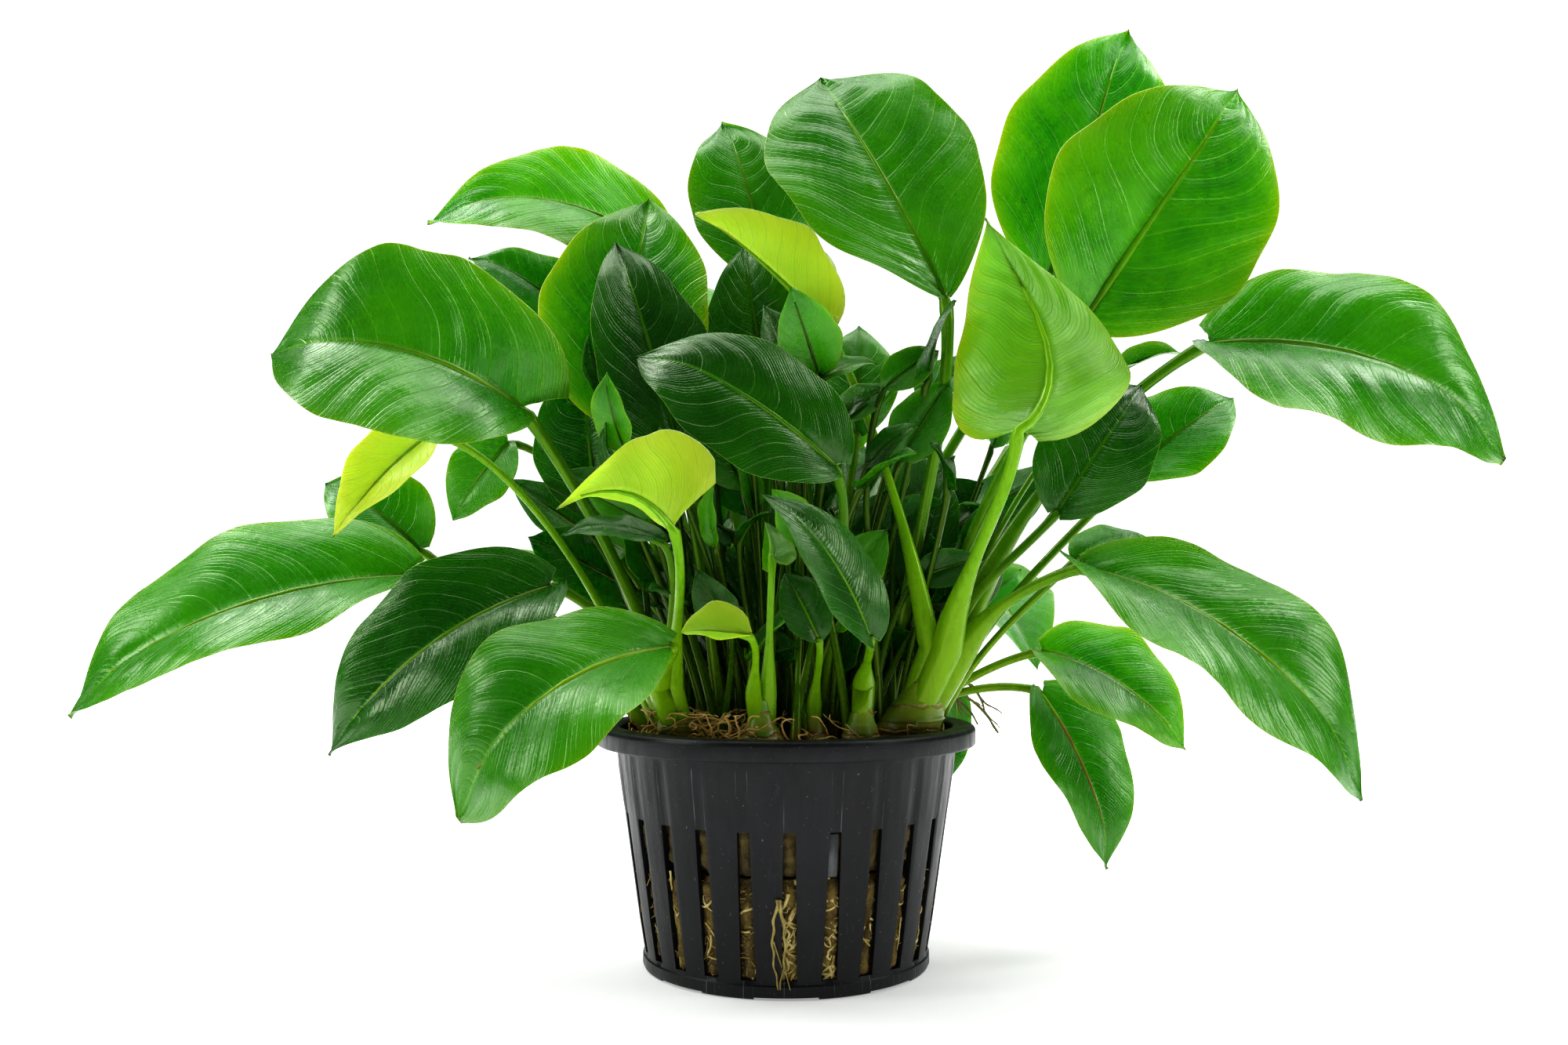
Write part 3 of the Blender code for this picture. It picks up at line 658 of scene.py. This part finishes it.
def blade_point(leaf, form, share, across, seed):
    """Upper-skin point and upward direction of the blade at a share along and across."""
    along, normal, side = blade_axes(leaf)
    half_index = 1 if across > 0 else 0
    reach = abs(across)
    width = outline(share, form)
    base = 1 - smooth(0, 0.3, share)
    half = 0.5 * leaf.width * width * form.share[half_index]
    half *= 1 + 0.02 * sin(WAVE_TURN * 3.1 * share + seed * 1.7 + 2 * half_index)
    out, rise = bend(half, reach, form.fold[half_index] + FOOT_FOLD * base, form.roll[half_index])
    wave = WAVE_HEIGHT * leaf.width * form.wave * reach ** 2.4 * smooth(0, 0.25, share)
    rise += wave * sin(WAVE_TURN * (WAVES * share + 0.13 * seed + 0.4 * half_index))
    rise += SWELL_HEIGHT * leaf.width * noise.noise(Vector((share * 2.2, across * 1.6, seed * 3.1)))
    rise -= MIDRIB_GROOVE * exp(-(reach / 0.06) ** 2) * (1 - 0.6 * share)
    rise += QUILT_HEIGHT * leaf.width * quilt(share, across, seed)
    twist = radians(TWIST) * sin(seed * 2.3) * (share - 0.4)
    lateral = side * cos(twist) + normal * sin(twist)
    up = normal * cos(twist) - side * sin(twist)
    centre = midrib(leaf, share) - up * 0.035 * leaf.length * smooth(0.78, 1, share)
    hook = 0.025 * leaf.length * sin(seed) * smooth(0.7, 1, share)
    centre += side * (skew_drift(form, share) + hook)
    centre -= along * form.lobe[half_index] * leaf.length * reach ** 1.3 * base
    return centre + lateral * copysign(out, across) + up * rise, up


def make_blade(mesh, layer, leaf, form, seed, fineness=1):
    """A closed thin shell: an upper and a lower skin that meet along the margin."""
    steps = max(12, int(leaf.length * STATIONS_PER_MM * fineness))
    half_columns = 14 if leaf.width * fineness > 24 else 7
    columns = range(-half_columns, half_columns + 1)
    upper_rows, lower_rows = [], []
    for index in range(steps + 1):
        share = 0.004 + 0.994 * (index / steps) ** 1.05
        upper, lower = [], []
        for column in columns:
            across = sin(0.5 * pi * column / half_columns)
            place, up = blade_point(leaf, form, share, across, seed)
            top = mesh.verts.new(place * MM)
            bottom = top
            if abs(column) < half_columns and index < steps:
                body = BLADE_THICKNESS * (1 - across * across) ** 0.5
                bottom = mesh.verts.new((place - up * body) * MM)
            run = vein_run(share, across, seed)
            upper.append((top, across, run))
            lower.append((bottom, across, run))
        upper_rows.append(upper)
        lower_rows.append(lower)
    for skin, rows in enumerate((upper_rows, lower_rows)):
        for low, high in zip(rows, rows[1:]):
            for a, b, c, d in zip(low, low[1:], high[1:], high):
                add_face(mesh, layer, (a, b, c, d) if skin == 0 else (d, c, b, a))
    rim = [corner[0] for corner in upper_rows[0]]
    rim += [corner[0] for corner in reversed(lower_rows[0][1:-1])]
    mesh.faces.new(list(reversed(rim)))


def add_face(mesh, layer, corners):
    """A face whose repeated corners are dropped; its UV is the way across and the count of veins."""
    kept = []
    for corner in corners:
        if all(corner[0] is not other[0] for other in kept):
            kept.append(corner)
    if len(kept) < 3:
        return
    face = mesh.faces.new([corner[0] for corner in kept])
    for loop, (_, across, run) in zip(face.loops, kept):
        loop[layer].uv = (0.5 + 0.5 * across, run)


def make_stalk(mesh, leaf, form, sides):
    """The stalk, sheathing its crown below and running on under the blade as a tapering midrib."""
    _, normal, side = blade_axes(leaf)
    slim = STALK_RADIUS + STALK_RADIUS_PER_WIDTH * leaf.width
    flare = STALK_FLARES.get(leaf.stand, COMMON_FLARE)
    points, radii = [], []
    if leaf.stand != SOIL:
        foot, top = crown_axis(leaf.stand)
        root = stalk_point(leaf, 0)
        for share in (0.15, 0.4, 0.7):
            below = root + (foot - top) * (1 - share)
            points.append(foot.lerp(top, share).lerp(below, 0.55 + 0.45 * share))
            radii.append(slim * flare * (0.7 + 0.35 * share))
    for index in range(STALK_STEPS):
        share = index / STALK_STEPS
        points.append(stalk_point(leaf, share))
        widening = (flare - 1) * (1 - smooth(0, 0.5, share)) ** 1.3
        radii.append(slim * (1 + widening + 0.20 * smooth(0.86, 0.97, share)))
    for share in (0, 0.03, 0.07, 0.13, 0.2, 0.3, 0.42, 0.56, 0.7, 0.84):
        sunk = normal * (0.2 + slim * 0.60 * (1 - share) ** 1.5)
        drift = side * skew_drift(form, share)
        points.append(midrib(leaf, share) + drift - sunk)
        radii.append(slim * (0.82 * (1 - share) ** 1.2 + 0.06))

    def groove(index, angle):
        depth = 0.18 * (1 - smooth(0.75 * STALK_STEPS, STALK_STEPS, index))
        return 1 - depth * exp(-((angle - 1.5 * pi) / 0.5) ** 2)

    first = len(mesh.faces)
    tube(mesh, points, radii, sides, side, groove)
    mesh.faces.ensure_lookup_table()
    for face in mesh.faces[first:]:
        face.material_index = STALK_SLOT


def make_leaf(leaf, index, materials):
    form = FORMS.get(leaf.name, COMMON)
    mesh = bmesh.new()
    layer = mesh.loops.layers.uv.new("leaf")
    make_blade(mesh, layer, leaf, form, 1 + index * 1.37)
    make_stalk(mesh, leaf, form, 14)
    name = "leaf_" + leaf.name
    look = materials[OWN_LOOKS.get(leaf.name, leaf.tone)]
    piece = finish_piece(name, mesh, look, "leaf_" + leaf.tone, name)
    piece.data.materials.append(materials["stalk_" + leaf.tone])


# --- rhizomes and shoots ---


def crown_axis(name):
    """Centres of the foot and of the top of a packed crown, in mm."""
    low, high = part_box(name)
    corners = [corner.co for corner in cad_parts[name].data.vertices]
    ends = []
    for level in (low.z, high.z):
        ring = [corner for corner in corners if abs(corner.z - level) < 0.0001]
        ends.append(sum(ring, Vector()) / len(ring) / MM)
    return ends


def crown_radius(name, centre):
    corners = (corner.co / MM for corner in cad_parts[name].data.vertices)
    return max((corner - centre).length for corner in corners if abs(corner.z - centre.z) < 0.1)


def make_crown(name, material):
    """A bulbous stem foot, ringed by leaf scars below, that narrows into its stalks."""
    foot, top = crown_axis(name)
    foot_radius = crown_radius(name, foot)
    narrow = 0.55 if name == RHIZOME else 0.42
    mesh = bmesh.new()
    rings = []
    steps, sides = 48, 44
    for index in range(steps + 1):
        share = index / steps
        centre = foot.lerp(top, share)
        radius = foot_radius * (0.92 + 0.16 * sin(pi * min(1, share * 1.9)))
        radius *= 1 - (1 - narrow) * smooth(0.25, 1, share)
        scar = exp(-(((share * 7.3 + 0.2 * sin(share * 20)) % 1.0 - 0.5) / 0.1) ** 2)
        radius *= 1 + 0.055 * scar * (1 - smooth(0.35, 0.75, share))
        radius *= 1 - 0.6 * smooth(0.92, 1, share) ** 2
        ring = []
        for k in range(sides):
            spot = polar(1, 360 * k / sides, 0)
            lump = 0.1 * noise.noise(spot * 1.3 + Vector((foot.x, 0, share * 3)))
            ring.append(mesh.verts.new((centre + spot * radius * (1 + lump)) * MM))
        rings.append(ring)
    bridge(mesh, rings)
    cap(mesh, rings)
    finish_piece(name, mesh, material, "rhizome", name)


def shoot_rows():
    """Rows of small inner leaves on bare stalks that fill the middle of the plant."""
    chance = random.Random(SEED)
    between = chance.uniform
    rows = []
    for index in range(SHOOTS):
        behind = index % 5 < 2
        turn = between(15, 165) if behind else between(0, 360)
        start = 33 * chance.random() ** 0.6
        tall = between(14, 60) if behind else between(18, 88)
        root = polar(start, turn, 0)
        reach = start + 0.34 * tall * chance.random() + 4
        out = polar(reach, turn + between(-20, 20), WOOL_TOP + tall)
        out.y = max(-20, out.y)
        size = between(22, 34) if behind else between(11, 25) * (0.7 + 0.3 * tall / 88)
        # Shoots behind all take the deep tone, the darkest green, as painted shade in the middle of the
        # plant
        tone = "deep" if behind else chance.choice(SHOOT_TONES)
        outward = degrees(atan2(out.y - 6, out.x))
        rows.append(Leaf(
            f"shoot_{index}", SOIL, (root.x, root.y), tuple(out), outward + between(-80, 80),
            between(10, 75), size, size * between(0.5, 0.72),
            (outward + between(-70, 70), between(5, 60)), 1, tone))
    return rows


def make_shoots(materials):
    rows = shoot_rows()
    for tone in ("deep", "mature", "bright"):
        mesh = bmesh.new()
        layer = mesh.loops.layers.uv.new("leaf")
        for index, leaf in enumerate(row for row in rows if row.tone == tone):
            make_blade(mesh, layer, leaf, COMMON, index * 2.1, 0.75)
            make_stalk(mesh, leaf, COMMON, 6)
        piece = finish_piece("shoots_" + tone, mesh, materials[tone], "leaf_" + tone)
        # All shoots' stalks take the darker shade copy: painted shade
        piece.data.materials.append(materials["stalk_shade"])


# --- roots ---


def wander(start, heading, steps, step, chance, bend=0.5, sink=0, hold=None):
    """A root's path that turns a little at each step and may be held to a surface."""
    points = [start]
    way = heading.normalized()
    for _ in range(steps):
        turn = Vector([chance.gauss(0, bend) for _ in range(3)])
        way = (way + turn + Vector((0, 0, -sink))).normalized()
        point = points[-1] + way * step
        if hold:
            point = hold(point)
        points.append(point)
    return points


def soften(points, rounds=2):
    for _ in range(rounds):
        finer = [points[0]]
        for a, b in zip(points, points[1:]):
            finer += [a.lerp(b, 0.25), a.lerp(b, 0.75)]
        finer.append(points[-1])
        points = finer
    return points


def root_tube(form, points, radius, rounds=2, sides=6):
    points = soften(points, rounds)
    last = len(points) - 1
    radii = [radius * (1 - 0.55 * i / last) * (1 + 0.12 * sin(i * 1.1)) for i in range(last + 1)]
    tube(form, points, radii, sides)


def wall_radius(z):
    """Outer radius of the pot's wall at a height."""
    return BASE_RADIUS + (WALL_TOP_RADIUS - BASE_RADIUS) * z / (POT_HEIGHT - RIM_DROP)


def slot_press(turn, z):
    """How far the wool and its roots press out into a slot, in mm: none behind a bar."""
    place = ((turn - SLOT_PHASE) * SLOTS / 360 + 0.5) % 1.0 - 0.5
    level = smooth(SLOT_BOTTOM - 0.5, SLOT_BOTTOM + 1.5, z) * (1 - smooth(SLOT_TOP - 1.5, SLOT_TOP, z))
    return 0.95 * (1 - smooth(0.07, 0.17, abs(place))) * level


def make_front_root(material):
    """The thin root that loops down the outside of a bar at the front."""
    form = bmesh.new()
    for swing in (-1, 1):
        points = []
        for index in range(13):
            share = index / 12
            z = 22 - 19.5 * share
            bulge = sin(pi * share) ** 0.8
            turn = -92.6 + swing * 2.1 * bulge + 0.5 * sin(index * 2.1 + swing)
            points.append(polar(wall_radius(z) + 0.55, turn, z))
        root_tube(form, points, 0.36)
    for z, turn, reach in ((13, -94.5, 2.4), (8, -91, 2), (20, -92.5, 1.8)):
        points = [
            polar(wall_radius(z - 1.4 * k) + 0.5, turn + reach * 0.3 * k, z - 1.4 * k) for k in range(5)
        ]
        root_tube(form, points, 0.22)
    finish_piece("root_front", form, material, "root", "root_front")


def make_tangle(material):
    """Golden roots matted on the wool inside the rim, thickest at the left."""
    chance = random.Random(SEED + 1)
    between = chance.uniform
    form = bmesh.new()

    def on_wool(point):
        level = Vector((point.x, point.y, 0))
        if level.length > TANGLE_REACH:
            level *= TANGLE_REACH / level.length
        return Vector((level.x, level.y, min(TANGLE_TOP, max(WOOL_TOP + 0.5, point.z))))

    for index in range(190):
        left = index % 2 == 0
        turn = between(200, 262) if left else between(180, 360)
        start = polar(between(24, 37), turn, WOOL_TOP + between(0.6, 8.5 if left else 4.5))
        heading = polar(1, between(0, 360), between(-0.2, 0.5))
        points = wander(start, heading, 9, between(1.4, 2.6), chance, 0.42, 0.04, on_wool)
        root_tube(form, points, between(0.18, 0.36))
    finish_piece("root_tangle_left", form, material, "root", "root_tangle_left")


def make_aerial(material):
    """Forked green-brown roots that hang over the rim at the right."""
    chance = random.Random(SEED + 2)
    between = chance.uniform
    form = bmesh.new()
    trunks = (
        ((34, 17, 61), (40, 20, 63), (46, 23, 61), (51, 25, 57), (55, 27, 51)),
        ((34, 19, 60), (39, 22, 61.5), (44, 25, 60), (48, 27, 56.5), (50, 29, 53)),
        ((36, 12, 64), (42, 16, 66), (47, 19, 64), (50, 21, 60), (51, 22, 56)),
    )
    for trunk in trunks:
        points = [Vector(point) for point in trunk]
        root_tube(form, points, 0.55)
        for _ in range(3):
            start = points[chance.choice((2, 3))]
            way = Vector((between(0.2, 1), between(-0.3, 0.3), -1))
            root_tube(form, wander(start, way, 4, 1.6, chance, 0.25), 0.28)
    finish_piece("root_aerial_right", form, material, "root", "root_aerial_right")


def make_pot_roots(material):
    """Cream roots pressed between the wool and the pot, seen through the slots."""
    chance = random.Random(SEED + 3)
    between = chance.uniform
    form = bmesh.new()

    def on_plug(point):
        turn = degrees(atan2(point.y, point.x))
        radius = wall_radius(point.z) - WALL - 0.25 + slot_press(turn, point.z)
        level = Vector((point.x, point.y, 0)).normalized() * radius
        return Vector((level.x, level.y, max(2.6, min(WOOL_SEAM_HIGH + 2, point.z))))

    for index in range(200):
        front = index % 4 == 0
        turn = chance.gauss(-82, 9) if front else between(0, 360)
        z = between(5, 26)
        start = on_plug(polar(30, turn, z))
        way = polar(1, turn + 90, 0) * chance.choice((-1, 1)) * 0.5 + Vector((0, 0, -1))
        points = wander(start, way, 8, between(1, 2.2), chance, 0.5, 0.1, on_plug)
        root_tube(form, points, between(0.3, 0.5) if front else between(0.18, 0.34))
    finish_piece("pot_roots", form, material, "root")


def make_fibres(material):
    """Short golden fibres that stand off the side of the lower plug."""
    chance = random.Random(SEED + 4)
    between = chance.uniform
    form = bmesh.new()
    for _ in range(1500):
        z = between(2.5, WOOL_SEAM_LOW - 0.5)
        turn = between(0, 360)
        press = slot_press(turn, z)
        start = polar(wall_radius(z) - WALL - 1.0 + press, turn, z)
        way = polar(0.5, turn, between(-1, 1)) + polar(1, turn + 90, 0) * between(-1, 1)
        points = wander(start, way, 3, between(0.7, 1.3), chance, 0.4)
        limit = wall_radius(z) - WALL - 0.15 + press
        for point in points:
            level = hypot(point.x, point.y)
            if level > limit:
                point.xy *= limit / level
        root_tube(form, points, between(0.09, 0.19), 1, 4)
    finish_piece("wool_fibres", form, material, "wool")


def make_sliver(material):
    """A flat grey scrap of foam held upright between the plug and a bar."""
    form = bmesh.new()
    thick, wide, high = SLIVER_SIZE

    def place(corner):
        z = SLIVER_Z + corner.z * high
        return wall_radius(z) - 0.9 + corner.x * thick, corner.y * wide, z

    turned_cube(form, SLIVER_TURN, place)
    finish_piece("foam_sliver", form, material, "wool")


# --- wool ---


def make_wool(name, bottom, top, material, shrink):
    """A plug of stone wool with a matted, pitted side and a rounded torn edge."""
    form = bmesh.new()
    rings = []
    steps, sides = 46, 288
    for index in range(steps + 1):
        share = index / steps
        z = bottom + (top - bottom) * share
        inset = 1.6 * (1 - smooth(0, 0.1, share)) + 1.6 * smooth(0.9, 1, share)
        ring = []
        for k in range(sides):
            spot = polar(1, 360 * k / sides, 0)
            at = Vector((spot.x * 9, spot.y * 9, z * 0.32))
            rough = 0.9 * noise.fractal(at, 0.7, 2.1, 5)
            radius = wall_radius(z) - WALL - shrink - inset + min(0.3, rough)
            radius += slot_press(360 * k / sides, z)
            ring.append(form.verts.new(Vector((spot.x * radius, spot.y * radius, z)) * MM))
        rings.append(ring)
    bridge(form, rings)
    for ring, z in ((rings[0], bottom), (rings[-1], top)):
        inner = [ring]
        for share in (0.8, 0.6, 0.4, 0.2):
            inner.append([
                form.verts.new((v.co.x * share, v.co.y * share,
                                (z + 0.5 * noise.noise(v.co * 260 * share)) * MM)) for v in ring
            ])
        bridge(form, inner)
        form.faces.new(inner[-1])
    bmesh.ops.recalc_face_normals(form, faces=form.faces)
    finish_piece(name, form, material, "wool", name)


# --- pot ---


def arc(x, z, radius, start, step, count):
    """Points on an arc from a start angle, one at each step."""
    angles = (radians(start + step * k) for k in range(count))
    return [(x + radius * cos(angle), z + radius * sin(angle)) for angle in angles]


def pot_profile():
    """Inner floor outwards, up the inside, over the rolled rim and down the outside to the axis."""
    under_rim = POT_HEIGHT - RIM_DROP
    inside = WALL_TOP_RADIUS - WALL
    corner = wall_radius(FLOOR) - WALL
    points = [(0, FLOOR), (corner - 0.6, FLOOR), (corner, FLOOR + 0.6)]
    points += [(wall_radius(z) - WALL, z) for z in (SLOT_BOTTOM, 12, 20, 28, SLOT_TOP, 42, 48)]
    points += [(inside, under_rim), (inside + 0.2, POT_HEIGHT - 1.2)]
    points += arc(inside + 1.2, POT_HEIGHT - 1, 1, 180, -18, 6)
    points += arc(RIM_RADIUS - 1.3, POT_HEIGHT - 1.3, 1.3, 90, -15, 7)
    points += arc(RIM_RADIUS - 0.7, under_rim + 0.7, 0.7, 0, -22.5, 5)
    points += [(WALL_TOP_RADIUS + 1, under_rim), (WALL_TOP_RADIUS + 0.3, under_rim - 0.2)]
    points += [(wall_radius(z), z) for z in (50, 46, 42, 38, SLOT_TOP, 28, 20, 12, SLOT_BOTTOM)]
    points += [(wall_radius(3.2), 3.2), (BASE_RADIUS + 0.75, 2.9), (BASE_RADIUS + 0.8, 0.9)]
    points += [(BASE_RADIUS + 0.5, 0.25), (BASE_RADIUS - 0.1, 0), (BASE_RADIUS - 4, 0), (0, 0)]
    return points


def raised(turn, z):
    """How far the wall's moulded panels stand out: broad flats between narrow steps."""
    pitch = 360 / SLOTS
    place = ((turn - SLOT_PHASE) / pitch) % 1.0
    from_middle = abs(place - 0.5)
    edge = 1 - smooth(0.48 - PANEL_EDGE, 0.52 - PANEL_EDGE, from_middle)
    upper = smooth(SLOT_BOTTOM - 0.5, SLOT_BOTTOM + 0.5, z)
    upper *= 1 - smooth(PANEL_TOP - 0.4, PANEL_TOP + 0.4, z)
    seam = exp(-(from_middle / 0.05) ** 2) * smooth(SLOT_TOP, SLOT_TOP + 3, z)
    return (PANEL_STEP * edge + 0.12 * seam) * upper


def slot_corner(corner):
    z, width = (SLOT_TOP, SLOT_WIDTH_TOP) if corner.z > 0 else (SLOT_BOTTOM, SLOT_WIDTH_BOTTOM)
    return wall_radius(z) - 0.5 * WALL + corner.x * 4 * WALL, corner.y * width, z


def foot_corner(corner):
    pitch = 2 * pi * BASE_RADIUS / FEET
    z = FOOT_RECESS if corner.z > 0 else -1.0
    return BASE_RADIUS - 1.0 + corner.x * 8, corner.y * (pitch - FOOT_WIDTH), z


def make_pot(material):
    """The moulded pot: a turned wall with raised panels, cut by its slots and foot recesses."""
    sides = 288
    form = bmesh.new()
    profile = pot_profile()
    rings = []
    outer = False
    for index, (x, z) in enumerate(profile):
        outer = outer or (x >= RIM_RADIUS - 0.01)
        if x == 0.0:
            rings.append([form.verts.new((0, 0, z * MM))])
            continue
        ring = []
        for k in range(sides):
            turn = 360 * k / sides
            stand = raised(turn, z) - PANEL_STEP if outer and 3.3 < z < PANEL_TOP + 0.5 else 0.0
            ring.append(form.verts.new(polar(x + stand, turn, z) * MM))
        rings.append(ring)
    bridge(form, rings[1:-1])
    for k in range(sides):
        j = (k + 1) % sides
        form.faces.new((rings[0][0], rings[1][j], rings[1][k]))
        form.faces.new((rings[-2][k], rings[-2][j], rings[-1][0]))
    bmesh.ops.recalc_face_normals(form, faces=form.faces)
    cutters = bmesh.new()
    for index in range(SLOTS):
        turned_cube(cutters, SLOT_PHASE + index * 360 / SLOTS, slot_corner)
    for index in range(FEET):
        turned_cube(cutters, index * 360 / FEET, foot_corner)
    cutter = put_mesh("pot_cutters", cutters)
    pot = finish_piece("net_pot", form, material, "pot", "net_pot")
    cut = pot.modifiers.new("slots", "BOOLEAN")
    cut.operation = "DIFFERENCE"
    cut.object = cutter
    bpy.context.view_layer.update()
    graph = bpy.context.evaluated_depsgraph_get()
    final = bpy.data.meshes.new_from_object(pot.evaluated_get(graph))
    pot.modifiers.clear()
    pot.data = final
    bpy.data.objects.remove(cutter)
    final.shade_smooth()
    final.set_sharp_from_angle(angle=radians(32))
    edge = pot.modifiers.new("soft_edges", "BEVEL")
    edge.width = 0.00022
    edge.segments = 2
    edge.limit_method = "ANGLE"
    edge.angle_limit = radians(50)


# --- studio ---


def add_light(name, place, aim_height, size, power):
    data = bpy.data.lights.new(name, "AREA")
    data.shape = "RECTANGLE"
    data.size, data.size_y = size
    data.energy = power
    lamp = put(name, data)
    lamp.location = place
    way = Vector((0, 0, aim_height)) - lamp.location
    lamp.rotation_euler = way.to_track_quat("-Z", "Y").to_euler()


def make_studio():
    """A pale floor that glows, least near the pot, and soft lights; the camera sees a white world that
    lights the plant only dimly.
    """
    scene = bpy.context.scene
    world = bpy.data.worlds.new("studio")
    world.use_nodes = True
    tree = world.node_tree
    back = tree.nodes["Background"]
    white = tree.nodes.new("ShaderNodeBackground")
    for node, strength in ((back, AMBIENT), (white, BACKDROP)):
        node.inputs[0].default_value = rgb(1, 1, 1)
        node.inputs[1].default_value = strength
    seen = tree.nodes.new("ShaderNodeLightPath")
    blend = tree.nodes.new("ShaderNodeMixShader")
    tree.links.new(seen.outputs["Is Camera Ray"], blend.inputs[0])
    tree.links.new(back.outputs[0], blend.inputs[1])
    tree.links.new(white.outputs[0], blend.inputs[2])
    tree.links.new(blend.outputs[0], tree.nodes["World Output"].inputs[0])
    scene.world = world
    scene.view_settings.view_transform = "Standard"
    scene.view_settings.look = "Medium High Contrast"
    form = bmesh.new()
    bmesh.ops.create_grid(form, x_segments=1, y_segments=1, size=6)
    n = Nodes("floor")
    shade = n.mix(n.noise(3), rgb(0.93, 0.93, 0.93), rgb(0.95, 0.95, 0.95))
    reach = n.add("VectorMath", operation="LENGTH")
    n.feed(reach.inputs[0], n.place)
    # Painted light: the floor glows, and glows less near the pot, which paints darker floor around it as
    # shade
    glow = n.span(reach.outputs["Value"], 0.04, 0.45, FLOOR_GLOW, 1)
    n.set(Base_Color=shade, Roughness=0.9, Emission_Color=rgb(1, 1, 1), Emission_Strength=glow)
    put_mesh("floor", form, n.material)
    for row in LIGHTS:
        add_light(*row)


def make_camera():
    data = bpy.data.cameras.new("camera")
    data.sensor_width = SENSOR_MM
    data.lens = LENS_MM
    camera = put("camera", data)
    camera.location = CAMERA_PLACE
    camera.rotation_euler = (radians(CAMERA_TILT), 0, 0)
    bpy.context.scene.camera = camera


def make_plant():
    materials = {tone: leaf_material(tone) for tone in TONES}
    for tone, (low, high) in STALK_TONES.items():
        materials["stalk_" + tone] = stalk_material("stalk_" + tone, rgb(*low), rgb(*high))
    for index, leaf in enumerate(LEAVES):
        make_leaf(leaf, index, materials)
    make_shoots(materials)
    stem = rhizome_material()
    for name in CROWN_NAMES:
        make_crown(name, stem)


def make_rooting():
    golden = root_material("root_golden", rgb(0.2, 0.11, 0.02), rgb(0.58, 0.38, 0.1))
    cream = root_material("root_cream", rgb(0.38, 0.28, 0.06), rgb(0.72, 0.6, 0.26))
    green = root_material("root_green", rgb(0.1, 0.13, 0.02), rgb(0.22, 0.2, 0.05))
    make_front_root(root_material("root_olive", rgb(0.2, 0.15, 0.03), rgb(0.44, 0.36, 0.1)))
    make_tangle(golden)
    make_aerial(green)
    make_pot_roots(cream)
    make_fibres(root_material("fibre", rgb(0.16, 0.1, 0.02), rgb(0.5, 0.36, 0.09)))
    make_sliver(root_material("foam_grey", rgb(0.055, 0.062, 0.062), rgb(0.105, 0.115, 0.112)))
    wool = wool_material()
    make_wool("stone_wool_lower", WOOL_LOW, WOOL_SEAM_LOW, wool, 0.5)
    make_wool("stone_wool_upper", WOOL_SEAM_HIGH, WOOL_TOP, wool, 0.7)


make_camera()
make_studio()
make_plant()
make_rooting()
make_pot(pot_material())
